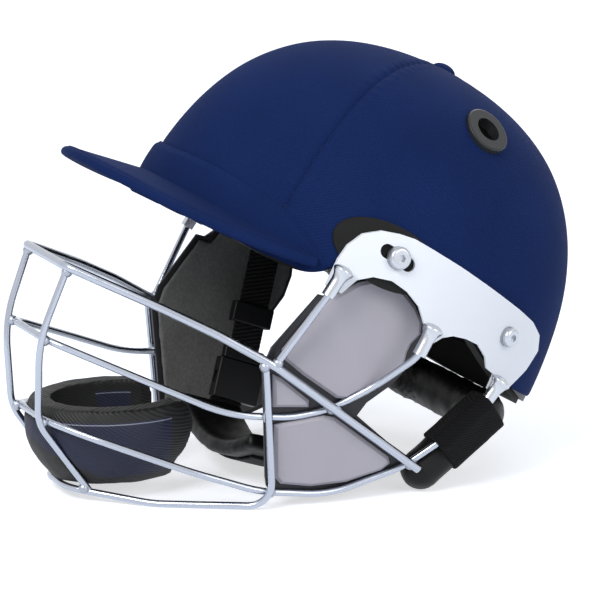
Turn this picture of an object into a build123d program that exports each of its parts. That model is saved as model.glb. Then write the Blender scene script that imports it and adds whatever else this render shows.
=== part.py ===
from build123d import *
import math
import os

os.makedirs("parts", exist_ok=True)

# Cricket helmet. X points to the wearer's left, Y to the back, Z up. It is drawn as worn,
# with the middle of the rear rim's level at zero, and set down on its grille at the end.

# Head form, measured on the outside of the cloth cover
half_width = 104.0
half_length = 133.0
crown_height = 144.5
crown_fullness_share = 0.652
rest_tilt = 29.0

# Layers of the shell, from the outside in
cover_thickness = 1.2
shell_thickness = 3.0
liner_thickness = 11.0
pad_thickness = 8.0
glue_gap = 0.1
seam_gap = 0.4
gore_angle = 40.0
brow_rise = 3.5
hem_drop = 1.2
liner_drop = 3.0
pad_rounding = 2.5

# Peak
peak_half_width = 96.0
peak_reach = 117.0
peak_arch_radius = 332.0
peak_thickness = 5.6
peak_pitch = 9.0
peak_crown_height = 28.5
peak_hem = 2.4
peak_rounding = 1.6
lining_thickness = 1.1

# Button and vents
button_diameter = 14.0
button_rise = 3.6
grommet_diameter = 28.0
grommet_hole = 15.0
grommet_wall = 1.2
grommet_lip = 1.6
grommet_depth = 5.0
vent_tilt = 47.0

# Side plates, their screws and sockets
plate_stand_off = 1.5
plate_thickness = 1.8
washer_margin = 0.5
plate_pad_gap = 0.15
screw_shank = 5.0
front_head = 12.5
rear_head = 11.0
head_rise = 3.2
washer_thickness = 1.0
hex_key = 4.0
hex_depth = 2.0
insert_diameter = 14.0
insert_thickness = 1.4
slot_length = 22.0
slot_width = 8.0
socket_diameter = 7.6
socket_flare = 12.0
socket_length = 19.0
socket_wall_gap = 0.05

# Grille
top_wire = 5.0
wire = 4.0
weld_reach = 3.1
groove_clearance = 0.25

# Cheek panels
flange_thickness = 1.5
pillow_rise = 3.4
pillow_rounding = 1.5
pillow_taper = 50.0
panel_side = 92.0
panel_turn_share = 0.03
panel_lean_share = 0.10
lining_depth = 3.0

# Neck roll, wraps and spare neck guard
roll_diameter = 23.0
wrap_thickness = 2.0
wrap_length = 38.0
guard_height = 44.0
guard_thickness = 13.0
guard_half_width = 43.0
guard_half_length = 51.0

# Chin strap
web_width = 20.0
web_thickness = 1.6
strap_clearance = 0.35
rivet_head = 11.0
rivet_shank = 4.0
rivet_rise = 1.8
cup_half_width = 52.0
cup_thickness = 9.0
buckle_width = 30.0
buckle_length = 24.0
buckle_depth = 7.0

cup_tilt = 10.0
cup_width = 40.0
cup_rounding = 3.0
cup_middle_share = -0.225
cup_end_share = -0.615
cup_low_share = -0.715
buckle_rounding = 0.8
anchor_reach_share = 0.778
pivot_gap = 0.08
rivet_taper = 20.0
shank_reach_share = 0.30
buckle_level = -62.0
slider_level = -31.0
guard_back = -135.0
guard_level = -43.0

overrun = 60.0
small_gap = 0.05


def spot(side_share, back_share, up_share):
    """A place as shares of the head form's half width, half length and height."""
    return Vector(side_share * half_width, back_share * half_length, up_share * crown_height)


def flipped(points):
    """The same places on the wearer's right, in the opposite order."""
    return [Vector(-p.X, p.Y, p.Z) for p in reversed(points)]


def head_form(outward, forward=0):
    """The head shape grown by an amount, with a straight skirt below the rim."""
    side = half_width + outward
    top = crown_height + outward
    with BuildPart(mode=Mode.PRIVATE) as body:
        with BuildSketch(Plane.XZ):
            with BuildLine():
                Line((0, -overrun), (side, -overrun))
                Line((side, -overrun), (side, 0))
                Bezier(
                    (side, 0),
                    (side, crown_fullness_share * top),
                    (crown_fullness_share * side, top),
                    (0, top),
                )
                Line((0, top), (0, -overrun))
            make_face()
        revolve(axis=Axis.Z)
        scale(by=(1, (half_length + outward + forward) / side, 1))
    return body.part


# The rim, seen from the side, from the brow back over the ear to the nape
rim_shares = (
    (-1.20, 0.030),
    (-0.58, 0.045),
    (-0.46, 0.075),
    (-0.36, 0.160),
    (-0.12, 0.185),
    (0.18, 0.150),
    (0.42, 0.060),
    (0.62, 0.0),
    (1.20, 0.0),
)
floor_share = -0.6


def rim_cut(drop):
    """Everything below the rim, lowered by the given amount."""
    points = [(y * half_length, z * crown_height - drop) for y, z in rim_shares]
    low = floor_share * crown_height
    with BuildPart(mode=Mode.PRIVATE) as body:
        with BuildSketch(Plane.YZ):
            with BuildLine():
                Spline(*points)
                Polyline(points[-1], (points[-1][0], low), (points[0][0], low), points[0])
            make_face()
        extrude(amount=half_width + overrun, both=True)
    return body.part


# The brow seam, seen from the side
brow_shares = (
    (-1.12, 0.232),
    (-0.97, 0.252),
    (-0.81, 0.240),
    (-0.66, 0.212),
    (-0.51, 0.140),
    (-0.36, 0.070),
)


def brow_zone(gap):
    """The front of the helmet below the brow seam."""
    points = [(y * half_length, z * crown_height - gap) for y, z in brow_shares]
    low = floor_share * crown_height
    with BuildPart(mode=Mode.PRIVATE) as body:
        with BuildSketch(Plane.YZ):
            with BuildLine():
                Spline(*points)
                Polyline(
                    points[-1],
                    (points[-1][0], low),
                    (points[0][0] - overrun, low),
                    (points[0][0] - overrun, points[0][1]),
                    points[0],
                )
            make_face()
        extrude(amount=half_width + overrun, both=True)
    return body.part


def gore_wedge(from_angle, to_angle, gap):
    """A slice of the helmet between two upright planes through the crown."""
    reach = half_length + half_width
    middle_angle = math.radians((from_angle + to_angle) / 2)
    half_angle = math.radians((to_angle - from_angle) / 2)
    start = gap / 2 / math.sin(half_angle)
    with BuildPart(mode=Mode.PRIVATE) as body:
        with BuildSketch(Plane.XY.offset(-overrun)):
            with BuildLine():
                tip = (start * math.sin(middle_angle), -start * math.cos(middle_angle))
                turns = (-half_angle, -half_angle / 2, 0, half_angle / 2, half_angle)
                rim = [
                    (
                        tip[0] + reach * math.sin(middle_angle + turn),
                        tip[1] - reach * math.cos(middle_angle + turn),
                    )
                    for turn in turns
                ]
                Polyline(tip, *rim, close=True)
            make_face()
        extrude(amount=crown_height + 2 * overrun)
    return body.part


shell_outer = -(cover_thickness + glue_gap)
shell_inner = shell_outer - shell_thickness
liner_outer = shell_inner - glue_gap
liner_inner = liner_outer - liner_thickness
pad_outer = liner_inner - glue_gap
pad_inner = pad_outer - pad_thickness

# Vent holes, one on each side of the crown
vent_shares = (0.646, 0.045, 0.836)
vent_spot = spot(*vent_shares)
vent_normal = Vector(math.cos(math.radians(vent_tilt)), 0, math.sin(math.radians(vent_tilt)))
vent_barrel = grommet_hole / 2 + grommet_wall


def vent_drill(radius):
    """Both vent holes as rods through the shell."""
    with BuildPart(mode=Mode.PRIVATE) as body:
        with BuildSketch(Plane(vent_spot - vent_normal * overrun / 2, z_dir=vent_normal)):
            Circle(radius)
        extrude(amount=overrun)
        mirror(about=Plane.YZ)
    return body.part


# Screw places on the side plates, on the left of the wearer
front_screw_shares = (0.99, -0.21, 0.239)
rear_screw_shares = (0.915, 0.451, 0.161)
front_screw = spot(*front_screw_shares)
rear_screw = spot(*rear_screw_shares)
front_out = Vector(1, -0.05, 0.10).normalized()
rear_out = Vector(1, 0.33, 0.06).normalized()


def rod(place, direction, radius, inward, outward):
    """A round bar through a place, and its twin on the other side."""
    with BuildPart(mode=Mode.PRIVATE) as body:
        with BuildSketch(Plane(place - direction * inward, z_dir=direction)):
            Circle(radius)
        extrude(amount=inward + outward)
        mirror(about=Plane.YZ)
    return body.part


screw_holes = rod(front_screw, front_out, screw_shank / 2 + glue_gap, overrun / 2, overrun / 2)
rear_holes = rod(rear_screw, rear_out, screw_shank / 2 + glue_gap, overrun / 2, overrun / 2)
anchor_shares = (0.86, -0.13, 0.245)
anchor = spot(*anchor_shares)
rivet_holes = rod(anchor, Vector(1, 0, 0), rivet_shank / 2 + glue_gap, overrun / 2, overrun / 2)

outer_form = head_form(0)
cover_form = head_form(-cover_thickness)
brow_form = head_form(0, brow_rise)

# Hard shell: one moulding drilled for the vents, the plate screws and the strap rivets
with BuildPart() as hard_shell:
    add(head_form(shell_outer))
    add(head_form(shell_inner), mode=Mode.SUBTRACT)
    add(rim_cut(0), mode=Mode.SUBTRACT)
    add(vent_drill(vent_barrel + glue_gap), mode=Mode.SUBTRACT)
    add(screw_holes, mode=Mode.SUBTRACT)
    add(rear_holes, mode=Mode.SUBTRACT)
    add(rivet_holes, mode=Mode.SUBTRACT)

# Cloth cover, sewn from a front gore, two side gores and a padded brow band
with BuildPart() as cover_front:
    add(outer_form)
    add(cover_form, mode=Mode.SUBTRACT)
    add(gore_wedge(-gore_angle, gore_angle, seam_gap), mode=Mode.INTERSECT)
    add(brow_zone(-seam_gap), mode=Mode.SUBTRACT)

with BuildPart() as cover_left:
    add(outer_form)
    add(cover_form, mode=Mode.SUBTRACT)
    add(gore_wedge(gore_angle, 180, seam_gap), mode=Mode.INTERSECT)
    add(brow_zone(-seam_gap), mode=Mode.SUBTRACT)
    add(rim_cut(hem_drop), mode=Mode.SUBTRACT)
    add(vent_drill(vent_barrel + glue_gap), mode=Mode.SUBTRACT)
    add(screw_holes, mode=Mode.SUBTRACT)
    add(rear_holes, mode=Mode.SUBTRACT)

with BuildPart() as cover_right:
    add(cover_left.part)
    mirror(about=Plane.YZ, mode=Mode.REPLACE)

with BuildPart() as cover_brow:
    add(brow_form)
    add(cover_form, mode=Mode.SUBTRACT)
    add(brow_zone(0), mode=Mode.INTERSECT)
    add(rim_cut(hem_drop), mode=Mode.SUBTRACT)

insert_depth = 2 * insert_thickness + shell_thickness / 2
insert_start = plate_stand_off + plate_thickness + cover_thickness + shell_thickness / 2
pocket_depth = insert_start + insert_depth + small_gap
pocket_radius = insert_diameter / 2 + glue_gap
front_pocket = rod(front_screw, front_out, pocket_radius, pocket_depth, overrun / 2)
rear_pocket = rod(rear_screw, rear_out, pocket_radius, pocket_depth, overrun / 2)

# Impact liner: moulded foam whose lip shows just below the rim
with BuildPart() as impact_liner:
    add(head_form(liner_outer))
    add(head_form(liner_inner), mode=Mode.SUBTRACT)
    add(rim_cut(liner_drop), mode=Mode.SUBTRACT)
    add(vent_drill(vent_barrel + glue_gap), mode=Mode.SUBTRACT)
    add(screw_holes, mode=Mode.SUBTRACT)
    add(rear_holes, mode=Mode.SUBTRACT)
    add(rivet_holes, mode=Mode.SUBTRACT)
    add(front_pocket, mode=Mode.SUBTRACT)
    add(rear_pocket, mode=Mode.SUBTRACT)

# Comfort pads: cushions glued inside the liner, each a slice of one inner layer
pad_form = head_form(pad_outer)
pad_hollow = head_form(pad_inner)
brow_angle = 52.0
temple_angle = 62.0
ear_angle = 100.0
nape_angle = 140.0


def pad_slice(from_angle, to_angle, low, high):
    """A cushion between two upright planes and two levels, with soft edges."""
    with BuildPart(mode=Mode.PRIVATE) as body:
        add(pad_form)
        add(pad_hollow, mode=Mode.SUBTRACT)
        add(gore_wedge(from_angle, to_angle, seam_gap), mode=Mode.INTERSECT)
        with BuildSketch(Plane.XY.offset(low)):
            Rectangle(2 * half_width, 2 * half_length)
        extrude(amount=high - low, mode=Mode.INTERSECT)
        fillet(body.edges(), pad_rounding)
    return body.part


pad_shares = (0.06, 0.40)
side_pad_shares = (0.35, 0.60)
pad_low, pad_top = [share * crown_height for share in pad_shares]
side_pad_low, side_pad_top = [share * crown_height for share in side_pad_shares]

with BuildPart() as brow_pad:
    add(pad_slice(-brow_angle, brow_angle, pad_low, pad_top))

with BuildPart() as side_pad_left:
    add(pad_slice(temple_angle, ear_angle, side_pad_low, side_pad_top))

with BuildPart() as side_pad_right:
    add(side_pad_left.part)
    mirror(about=Plane.YZ, mode=Mode.REPLACE)

with BuildPart() as rear_pad:
    add(pad_slice(nape_angle, 360 - nape_angle, pad_low, pad_top))

crown_pad_share = 0.42
crown_pad_radius = crown_pad_share * half_width
with BuildPart() as crown_pad:
    add(pad_form)
    add(pad_hollow, mode=Mode.SUBTRACT)
    with BuildSketch(Plane.XY):
        Ellipse(crown_pad_radius, crown_pad_radius * half_length / half_width)
    extrude(amount=crown_height, mode=Mode.INTERSECT)
    fillet(crown_pad.edges(), pad_rounding)

# Peak: an arched stiff sheet under a rolled cloth hem, closed below by a lining
peak_back_share = -0.504
peak_back = peak_back_share * half_length
peak_middle = Plane(
    (0, peak_back, peak_crown_height),
    x_dir=(1, 0, 0),
    z_dir=(0, -math.cos(math.radians(peak_pitch)), -math.sin(math.radians(peak_pitch))),
)


def peak_slab(top_inset, bottom_inset, edge_inset):
    """The arched sheet between two depths, with its plan drawn in from the edge."""
    outer_radius = peak_arch_radius - top_inset
    inner_radius = peak_arch_radius - peak_thickness + bottom_inset
    with BuildPart(mode=Mode.PRIVATE) as body:
        with BuildSketch(peak_middle):
            with Locations((0, -peak_arch_radius)):
                Circle(outer_radius)
                Circle(inner_radius, mode=Mode.SUBTRACT)
            Rectangle(2 * peak_half_width, 2 * overrun, mode=Mode.INTERSECT)
        extrude(amount=2 * peak_reach, both=True)
        with BuildSketch(Plane.XY.offset(-overrun)):
            with Locations((0, peak_back)):
                Ellipse(peak_half_width - edge_inset, peak_reach - edge_inset)
        extrude(amount=3 * overrun, mode=Mode.INTERSECT)
        add(brow_form, mode=Mode.SUBTRACT)
        with BuildSketch(Plane.XY.offset(-overrun)):
            with Locations((0, half_length + peak_back)):
                Rectangle(2 * half_length, 2 * half_length)
        extrude(amount=3 * overrun, mode=Mode.SUBTRACT)
    return body.part


with BuildPart() as peak_cover:
    add(peak_slab(0, 0, 0))
    fillet(peak_cover.edges().filter_by(GeomType.BSPLINE).sort_by(Axis.Y)[:2], peak_rounding)
    add(peak_slab(cover_thickness, -small_gap, peak_hem), mode=Mode.SUBTRACT)

with BuildPart() as peak_core:
    add(peak_slab(cover_thickness + small_gap, lining_thickness + small_gap, peak_hem + small_gap))

with BuildPart() as under_peak_lining:
    add(
        peak_slab(peak_thickness - lining_thickness, 0, peak_hem + small_gap),
    )

# Covered button over the meeting point of the seams
button_round_share = 0.8
with BuildPart() as top_button:
    with BuildSketch(Plane.XY.offset(crown_height + glue_gap)):
        Circle(button_diameter / 2)
    extrude(amount=button_rise)
    fillet(top_button.edges().sort_by(Axis.Z)[-1:], button_round_share * button_rise)

# Vent grommets: a turned lip on a short barrel, one each side
grommet_round_share = 0.7
with BuildPart() as vent_grommets:
    with BuildSketch(Plane(vent_spot, z_dir=vent_normal)):
        Circle(grommet_diameter / 2)
    extrude(amount=grommet_lip)
    with BuildSketch(Plane(vent_spot, z_dir=vent_normal)):
        Circle(grommet_diameter / 2)
    extrude(amount=-2 * grommet_lip)
    fillet(vent_grommets.edges().sort_by(Axis.Z)[-1:], grommet_round_share * grommet_lip)
    add(outer_form, mode=Mode.SUBTRACT)
    with BuildSketch(Plane(vent_spot, z_dir=vent_normal)):
        Circle(vent_barrel)
    extrude(amount=-grommet_depth)
    with BuildSketch(Plane(vent_spot - vent_normal * grommet_depth, z_dir=vent_normal)):
        Circle(grommet_hole / 2)
    extrude(amount=3 * grommet_depth, mode=Mode.SUBTRACT)
    mirror(about=Plane.YZ)

# Side plates, drawn from the side: front leg, top edge, rear leg, arch, middle leg, arch
plate_shares = (
    (-0.430, 0.135),
    (-0.418, 0.198),
    (-0.380, 0.262),
    (-0.314, 0.304),
    (-0.240, 0.323),
    (-0.170, 0.332),
    (-0.077, 0.327),
    (0.083, 0.316),
    (0.256, 0.298),
    (0.462, 0.274),
    (0.575, 0.256),
    (0.660, 0.222),
    (0.700, 0.165),
    (0.674, 0.078),
    (0.615, -0.008),
    (0.565, -0.060),
    (0.480, -0.055),
    (0.475, 0.006),
    (0.420, 0.014),
    (0.385, 0.050),
    (0.317, 0.080),
    (0.243, 0.080),
    (0.175, 0.068),
    (0.128, 0.043),
    (0.100, 0.010),
    (0.050, 0.010),
    (0.020, 0.060),
    (-0.035, 0.109),
    (-0.113, 0.140),
    (-0.193, 0.151),
    (-0.273, 0.133),
    (-0.327, 0.096),
    (-0.345, 0.060),
    (-0.360, 0.025),
    (-0.430, 0.025),
)
plate_points = [(y * half_length, z * crown_height) for y, z in plate_shares]
plate_inner = head_form(plate_stand_off)
plate_outer = head_form(plate_stand_off + plate_thickness)


def oval_rod(place, direction, length, width, depth, turn):
    """An oblong bar through a place."""
    with BuildPart(mode=Mode.PRIVATE) as body:
        with BuildSketch(Plane(place - direction * depth, x_dir=(0, 1, 0), z_dir=direction)):
            SlotOverall(length, width, rotation=turn)
        extrude(amount=2 * depth)
    return body.part


slot_turn = -math.degrees(math.atan2(front_screw.Z - rear_screw.Z, rear_screw.Y - front_screw.Y))
with BuildPart() as side_plate_left:
    add(plate_outer)
    add(plate_inner, mode=Mode.SUBTRACT)
    with BuildSketch(Plane.YZ):
        with BuildLine():
            Polyline(*plate_points, close=True)
        make_face()
    extrude(amount=half_width + overrun, mode=Mode.INTERSECT)
    add(oval_rod(front_screw, front_out, slot_length, slot_width, overrun / 2, slot_turn), mode=Mode.SUBTRACT)
    add(rear_holes, mode=Mode.SUBTRACT)

with BuildPart() as side_plate_right:
    add(side_plate_left.part)
    mirror(about=Plane.YZ, mode=Mode.REPLACE)

def bent_wire(points, bends, thickness):
    """A round wire bent along a line of corners."""
    with BuildPart(mode=Mode.PRIVATE) as bar:
        with BuildLine() as route:
            if bends:
                FilletPolyline(*points, radius=bends)
            else:
                Polyline(*points)
        with BuildSketch(Plane(route.line @ 0, z_dir=route.line % 0)):
            Circle(thickness / 2)
        sweep()
    return bar.part


def even_bends(bends):
    """Bend radii for a route that mirrors itself in the middle."""
    return [bend * wire for bend in bends + tuple(reversed(bends))]


# Corners of the grille wires on the wearer's left, as shares of the head form, and the
# radius of each bend as a share of the wire's thickness
top_shares = (
    (0.885, 0.365, -0.450),
    (0.864, -0.451, -0.331),
    (0.750, -0.692, -0.320),
    (0.606, -0.940, -0.324),
    (0.308, -1.289, -0.3425),
)
top_bend_shares = (5, 25, 30, 2.4)
middle_shares = (
    (1.056, 0.055, 0.010),
    (1.054, 0.052, -0.062),
    (0.894, 0.000, -0.235),
    (0.817, -0.105, -0.388),
    (0.803, -0.256, -0.484),
    (0.774, -0.496, -0.574),
    (0.558, -0.827, -0.599),
    (0.255, -1.213, -0.627),
)
middle_bend_shares = (5, 12, 12, 16, 16, 25, 5)
lower_shares = (
    (0.9235, 0.512, -0.030),
    (0.9220, 0.506, -0.060),
    (0.875, 0.4135, -0.3045),
    (0.827, 0.323, -0.464),
    (0.798, 0.075, -0.685),
    (0.760, -0.210, -0.789),
    (0.673, -0.496, -0.834),
    (0.433, -0.887, -0.886),
    (0.202, -1.030, -0.910),
)
lower_bend_shares = (5, 12, 12, 18, 18, 18, 18, 5)
rail_shares = (
    (0.846, -0.485, -0.330),
    (0.808, -0.143, -0.8166),
    (0.481, -0.519, -1.014),
    (0.154, -0.786, -1.111),
)
rail_bend_shares = (3.5, 15, 5)
upright_shares = (
    (0.298, -1.274, -0.345),
    (0.267, -1.232, -0.643),
    (0.212, -1.052, -0.930),
    (0.238, -0.722, -1.080),
)
upright_bend_shares = (20, 6)
stay_shares = (
    (0.9730, -0.404, 0.060),
    (0.9720, -0.412, 0.010),
    (0.862, -0.444, -0.330),
)


def corners(shares):
    """The places of a table of shares."""
    return [spot(*share) for share in shares]


def all_round(shares):
    """A route from the left end, round the front, to the right end."""
    left = corners(shares)
    return left + flipped(left)


top_route = all_round(top_shares)
middle_route = all_round(middle_shares)
lower_route = all_round(lower_shares)
rail_route = all_round(rail_shares)
upright_route = corners(upright_shares)
stay_route = corners(stay_shares)
upright_bends = [bend * wire for bend in upright_bend_shares]
stay_bends = [wire]

with BuildPart() as top_bar:
    add(bent_wire(top_route, even_bends(top_bend_shares), top_wire))

with BuildPart() as middle_bar:
    add(bent_wire(middle_route, even_bends(middle_bend_shares), wire))

with BuildPart() as lower_bar:
    add(bent_wire(lower_route, even_bends(lower_bend_shares), wire))

# The bottom rail and the two side uprights are one wire, butted under the top bar
with BuildPart() as bottom_rail:
    add(bent_wire(rail_route, even_bends(rail_bend_shares), wire))
    add(top_bar.part, mode=Mode.SUBTRACT)

with BuildPart() as front_upright_left:
    add(bent_wire(upright_route, upright_bends, wire))
    add(top_bar.part, mode=Mode.SUBTRACT)
    add(bottom_rail.part, mode=Mode.SUBTRACT)

with BuildPart() as front_stay_left:
    add(bent_wire(stay_route, stay_bends, wire))
    add(top_bar.part, mode=Mode.SUBTRACT)

# Pressed sockets on the plates: a tube that flares into a dome, bored for its wire
socket_straight_share = 0.45
socket_dome_share = 0.86


def press_socket(mouth, top_end):
    """A tube from its mouth up to a dome, seated on the plate."""
    along = (top_end - mouth).normalized()
    tube = socket_diameter / 2
    flare = socket_flare / 2
    seat = Plane(mouth, x_dir=along.cross(Vector(1, 0, 0)).normalized(), z_dir=along)
    with BuildPart(mode=Mode.PRIVATE) as body:
        with BuildSketch(Plane(seat.origin, x_dir=seat.x_dir, z_dir=seat.y_dir * -1)):
            with BuildLine():
                Line((0, 0), (tube, 0))
                Line((tube, 0), (tube, socket_straight_share * socket_length))
                Spline(
                    (tube, socket_straight_share * socket_length),
                    (flare, socket_dome_share * socket_length),
                    (0, socket_length),
                    tangents=((0, 1), (-1, 0)),
                )
                Line((0, socket_length), (0, 0))
            make_face()
        revolve(axis=Axis(mouth, along))
        add(plate_outer, mode=Mode.SUBTRACT)
    return body.part


# Mouth and top of the front, middle and rear sockets
socket_shares = (
    ((0.9715, -0.4145, -0.008), (0.9735, -0.396, 0.135)),
    ((1.0540, 0.0520, -0.055), (1.0560, 0.0560, 0.070)),
    ((0.9170, 0.495, -0.118), (0.9240, 0.514, -0.020)),
)
socket_ends = [(spot(*mouth), spot(*top)) for mouth, top in socket_shares]


bore_width = wire + 2 * small_gap
with BuildPart() as sockets_left:
    for socket_mouth, socket_top in socket_ends:
        add(press_socket(socket_mouth, socket_top))
    add(bent_wire(middle_route[:3], [middle_bend_shares[0] * wire], bore_width), mode=Mode.SUBTRACT)
    add(bent_wire(lower_route[:3], [lower_bend_shares[0] * wire], bore_width), mode=Mode.SUBTRACT)
    add(bent_wire(stay_route, stay_bends, bore_width), mode=Mode.SUBTRACT)

# Weld beads where the wires cross or butt, each cut to the wires that it joins
# Top bar at the middle bar, lower bar, upright, rail and stay, then the rail at the middle
# bar, lower bar and upright, then the upright at the middle and lower bars
weld_shares = (
    (0.845, -0.115, -0.385),
    (0.852, 0.335, -0.448),
    (0.298, -1.268, -0.360),
    (0.846, -0.478, -0.350),
    (0.865, -0.440, -0.316),
    (0.810, -0.350, -0.519),
    (0.786, -0.175, -0.773),
    (0.233, -0.742, -1.083),
    (0.255, -1.2075, -0.631),
    (0.202, -1.033, -0.920),
)
with BuildPart() as weld_beads:
    for weld_place in corners(weld_shares):
        with BuildSketch(Plane(weld_place, x_dir=weld_place, z_dir=weld_place.cross(Vector(0, 0, 1)))):
            Circle(weld_reach)
            Rectangle(2 * weld_reach, weld_reach, align=(Align.CENTER, Align.MAX), mode=Mode.SUBTRACT)
        revolve(axis=Axis(weld_place, weld_place))
    add(bent_wire(top_route, even_bends(top_bend_shares), top_wire + 2 * small_gap), mode=Mode.SUBTRACT)
    add(bent_wire(middle_route, even_bends(middle_bend_shares), bore_width), mode=Mode.SUBTRACT)
    add(bent_wire(lower_route, even_bends(lower_bend_shares), bore_width), mode=Mode.SUBTRACT)
    add(bent_wire(rail_route, even_bends(rail_bend_shares), bore_width), mode=Mode.SUBTRACT)
    add(bent_wire(upright_route, upright_bends, bore_width), mode=Mode.SUBTRACT)
    add(bent_wire(stay_route, stay_bends, bore_width), mode=Mode.SUBTRACT)
    mirror(about=Plane.YZ)

# Rubber pads between the plates and the cover: an oval at the front, a ring at the rear
pad_place_shares = (0.0, -0.240, 0.228)
pad_place = spot(*pad_place_shares)
plate_pad_length_share = 0.48
plate_pad_height_share = 0.24
plate_pad_length = plate_pad_length_share * half_length
plate_pad_height = plate_pad_height_share * crown_height
with BuildPart() as plate_pads:
    add(head_form(plate_stand_off - plate_pad_gap))
    add(outer_form, mode=Mode.SUBTRACT)
    with BuildSketch(Plane.YZ):
        with Locations((pad_place.Y, pad_place.Z)):
            Ellipse(plate_pad_length / 2, plate_pad_height / 2)
        with Locations((rear_screw.Y, rear_screw.Z)):
            Circle(insert_diameter / 2)
    extrude(amount=half_width + overrun, both=True, mode=Mode.INTERSECT)
    add(screw_holes, mode=Mode.SUBTRACT)
    add(rear_holes, mode=Mode.SUBTRACT)
    add(brow_zone(0), mode=Mode.SUBTRACT)

insert_face = head_form(shell_inner - small_gap)


head_round_share = 0.6


def button_screw(place, direction, head, lift):
    """A domed socket-head screw standing on a washer, with its shank through the shell."""
    seat = Plane(place + direction * lift, z_dir=direction)
    with BuildPart(mode=Mode.PRIVATE) as body:
        with BuildSketch(seat):
            Circle(head / 2)
        extrude(amount=head_rise)
        fillet(body.edges().filter_by(GeomType.CIRCLE).sort_by(Axis.X)[-1:], head_round_share * head_rise)
        with BuildSketch(seat):
            Circle(screw_shank / 2)
        extrude(amount=-screw_reach)
        with BuildSketch(seat.offset(head_rise)):
            RegularPolygon(hex_key / 2, 6, major_radius=False)
        extrude(amount=-hex_depth, mode=Mode.SUBTRACT)
    return body.part


head_lift = plate_thickness / 2 + washer_thickness + small_gap
screw_reach = head_lift + plate_stand_off + plate_thickness + cover_thickness + shell_thickness + glue_gap
screw_reach += insert_thickness
with BuildPart() as front_screws:
    add(button_screw(front_screw, front_out, front_head, head_lift))
    mirror(about=Plane.YZ)

with BuildPart() as rear_screws:
    add(button_screw(rear_screw, rear_out, rear_head, head_lift))
    mirror(about=Plane.YZ)


def washer(place, direction, outside):
    """A flat ring between a screw head and its plate."""
    seat = Plane(place + direction * (head_lift - washer_thickness - small_gap), z_dir=direction)
    with BuildPart(mode=Mode.PRIVATE) as body:
        with BuildSketch(seat):
            Circle(outside / 2)
            Circle(screw_shank / 2 + glue_gap, mode=Mode.SUBTRACT)
        extrude(amount=washer_thickness)
        with BuildSketch(seat):
            Circle(outside / 2)
            Circle(screw_shank / 2 + glue_gap, mode=Mode.SUBTRACT)
        extrude(amount=-plate_thickness)
        add(plate_outer, mode=Mode.SUBTRACT)
    return body.part


with BuildPart() as washers:
    add(washer(front_screw, front_out, front_head + washer_margin))
    add(washer(rear_screw, rear_out, rear_head + washer_margin))
    mirror(about=Plane.YZ)

# Threaded inserts: flanged nuts sunk in the foam behind the shell, one for each screw
def insert_nut(place, direction):
    """A flanged nut on the screw's line, cut back to the shell's inner face."""
    seat = Plane(place - direction * insert_start, z_dir=direction)
    with BuildPart(mode=Mode.PRIVATE) as body:
        with BuildSketch(seat):
            Circle(insert_diameter / 2)
            Circle(screw_shank / 2 + small_gap, mode=Mode.SUBTRACT)
        extrude(amount=-insert_depth)
        add(insert_face, mode=Mode.INTERSECT)
    return body.part


with BuildPart() as shell_inserts:
    add(insert_nut(front_screw, front_out))
    add(insert_nut(rear_screw, rear_out))
    mirror(about=Plane.YZ)

# Cheek panels: a thin moulded flange behind the wires with three raised pillows
panel_plane = Plane(
    (panel_side, 0, 0), x_dir=(0, 1, 0), z_dir=(1, -panel_turn_share, -panel_lean_share)
)
flange_shares = (
    (-0.475, -0.280),
    (-0.405, -0.020),
    (-0.345, -0.010),
    (-0.310, 0.080),
    (-0.250, 0.132),
    (-0.160, 0.150),
    (-0.065, 0.146),
    (0.025, 0.116),
    (0.092, 0.065),
    (0.118, 0.000),
    (0.125, -0.090),
    (0.095, -0.200),
    (0.030, -0.310),
    (0.020, -0.370),
    (0.110, -0.390),
    (0.300, -0.430),
    (0.310, -0.465),
    (0.280, -0.520),
    (0.150, -0.640),
    (0.000, -0.725),
    (-0.160, -0.778),
    (-0.190, -0.765),
    (-0.215, -0.735),
    (-0.360, -0.520),
    (-0.466, -0.365),
)
upper_pillow_shares = (
    (-0.434, -0.268),
    (-0.409, -0.151),
    (-0.374, -0.036),
    (-0.320, 0.037),
    (-0.279, 0.090),
    (-0.226, 0.127),
    (-0.162, 0.140),
    (-0.073, 0.136),
    (0.002, 0.107),
    (0.063, 0.067),
    (0.086, 0.019),
    (0.070, -0.032),
    (0.073, -0.066),
    (0.086, -0.110),
    (0.062, -0.180),
    (0.010, -0.275),
    (-0.050, -0.325),
    (-0.113, -0.342),
    (-0.299, -0.318),
    (-0.405, -0.297),
)
triangle_pillow_shares = (
    (-0.418, -0.366),
    (-0.370, -0.366),
    (-0.216, -0.396),
    (-0.204, -0.420),
    (-0.345, -0.478),
)
lower_pillow_shares = (
    (-0.300, -0.538),
    (-0.270, -0.516),
    (-0.124, -0.424),
    (-0.074, -0.412),
    (0.236, -0.460),
    (0.256, -0.480),
    (0.236, -0.518),
    (0.118, -0.618),
    (-0.019, -0.692),
    (-0.145, -0.732),
    (-0.184, -0.720),
)


def panel_points(shares):
    """The corners of an outline on the panel's plane."""
    return [(y * half_length, z * crown_height) for y, z in shares]


def raised_pillow(shares):
    """One raised pillow with a sloping rim."""
    with BuildPart(mode=Mode.PRIVATE) as body:
        for level, rise, slope in (
            (flange_seat, pillow_rise - pillow_rounding, 0),
            (flange_seat + pillow_rise - pillow_rounding, pillow_rounding, pillow_taper),
        ):
            with BuildSketch(panel_plane.offset(level)):
                with BuildLine():
                    Polyline(*panel_points(shares), close=True)
                make_face()
            extrude(amount=rise, taper=slope)
    return body.part


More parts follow.
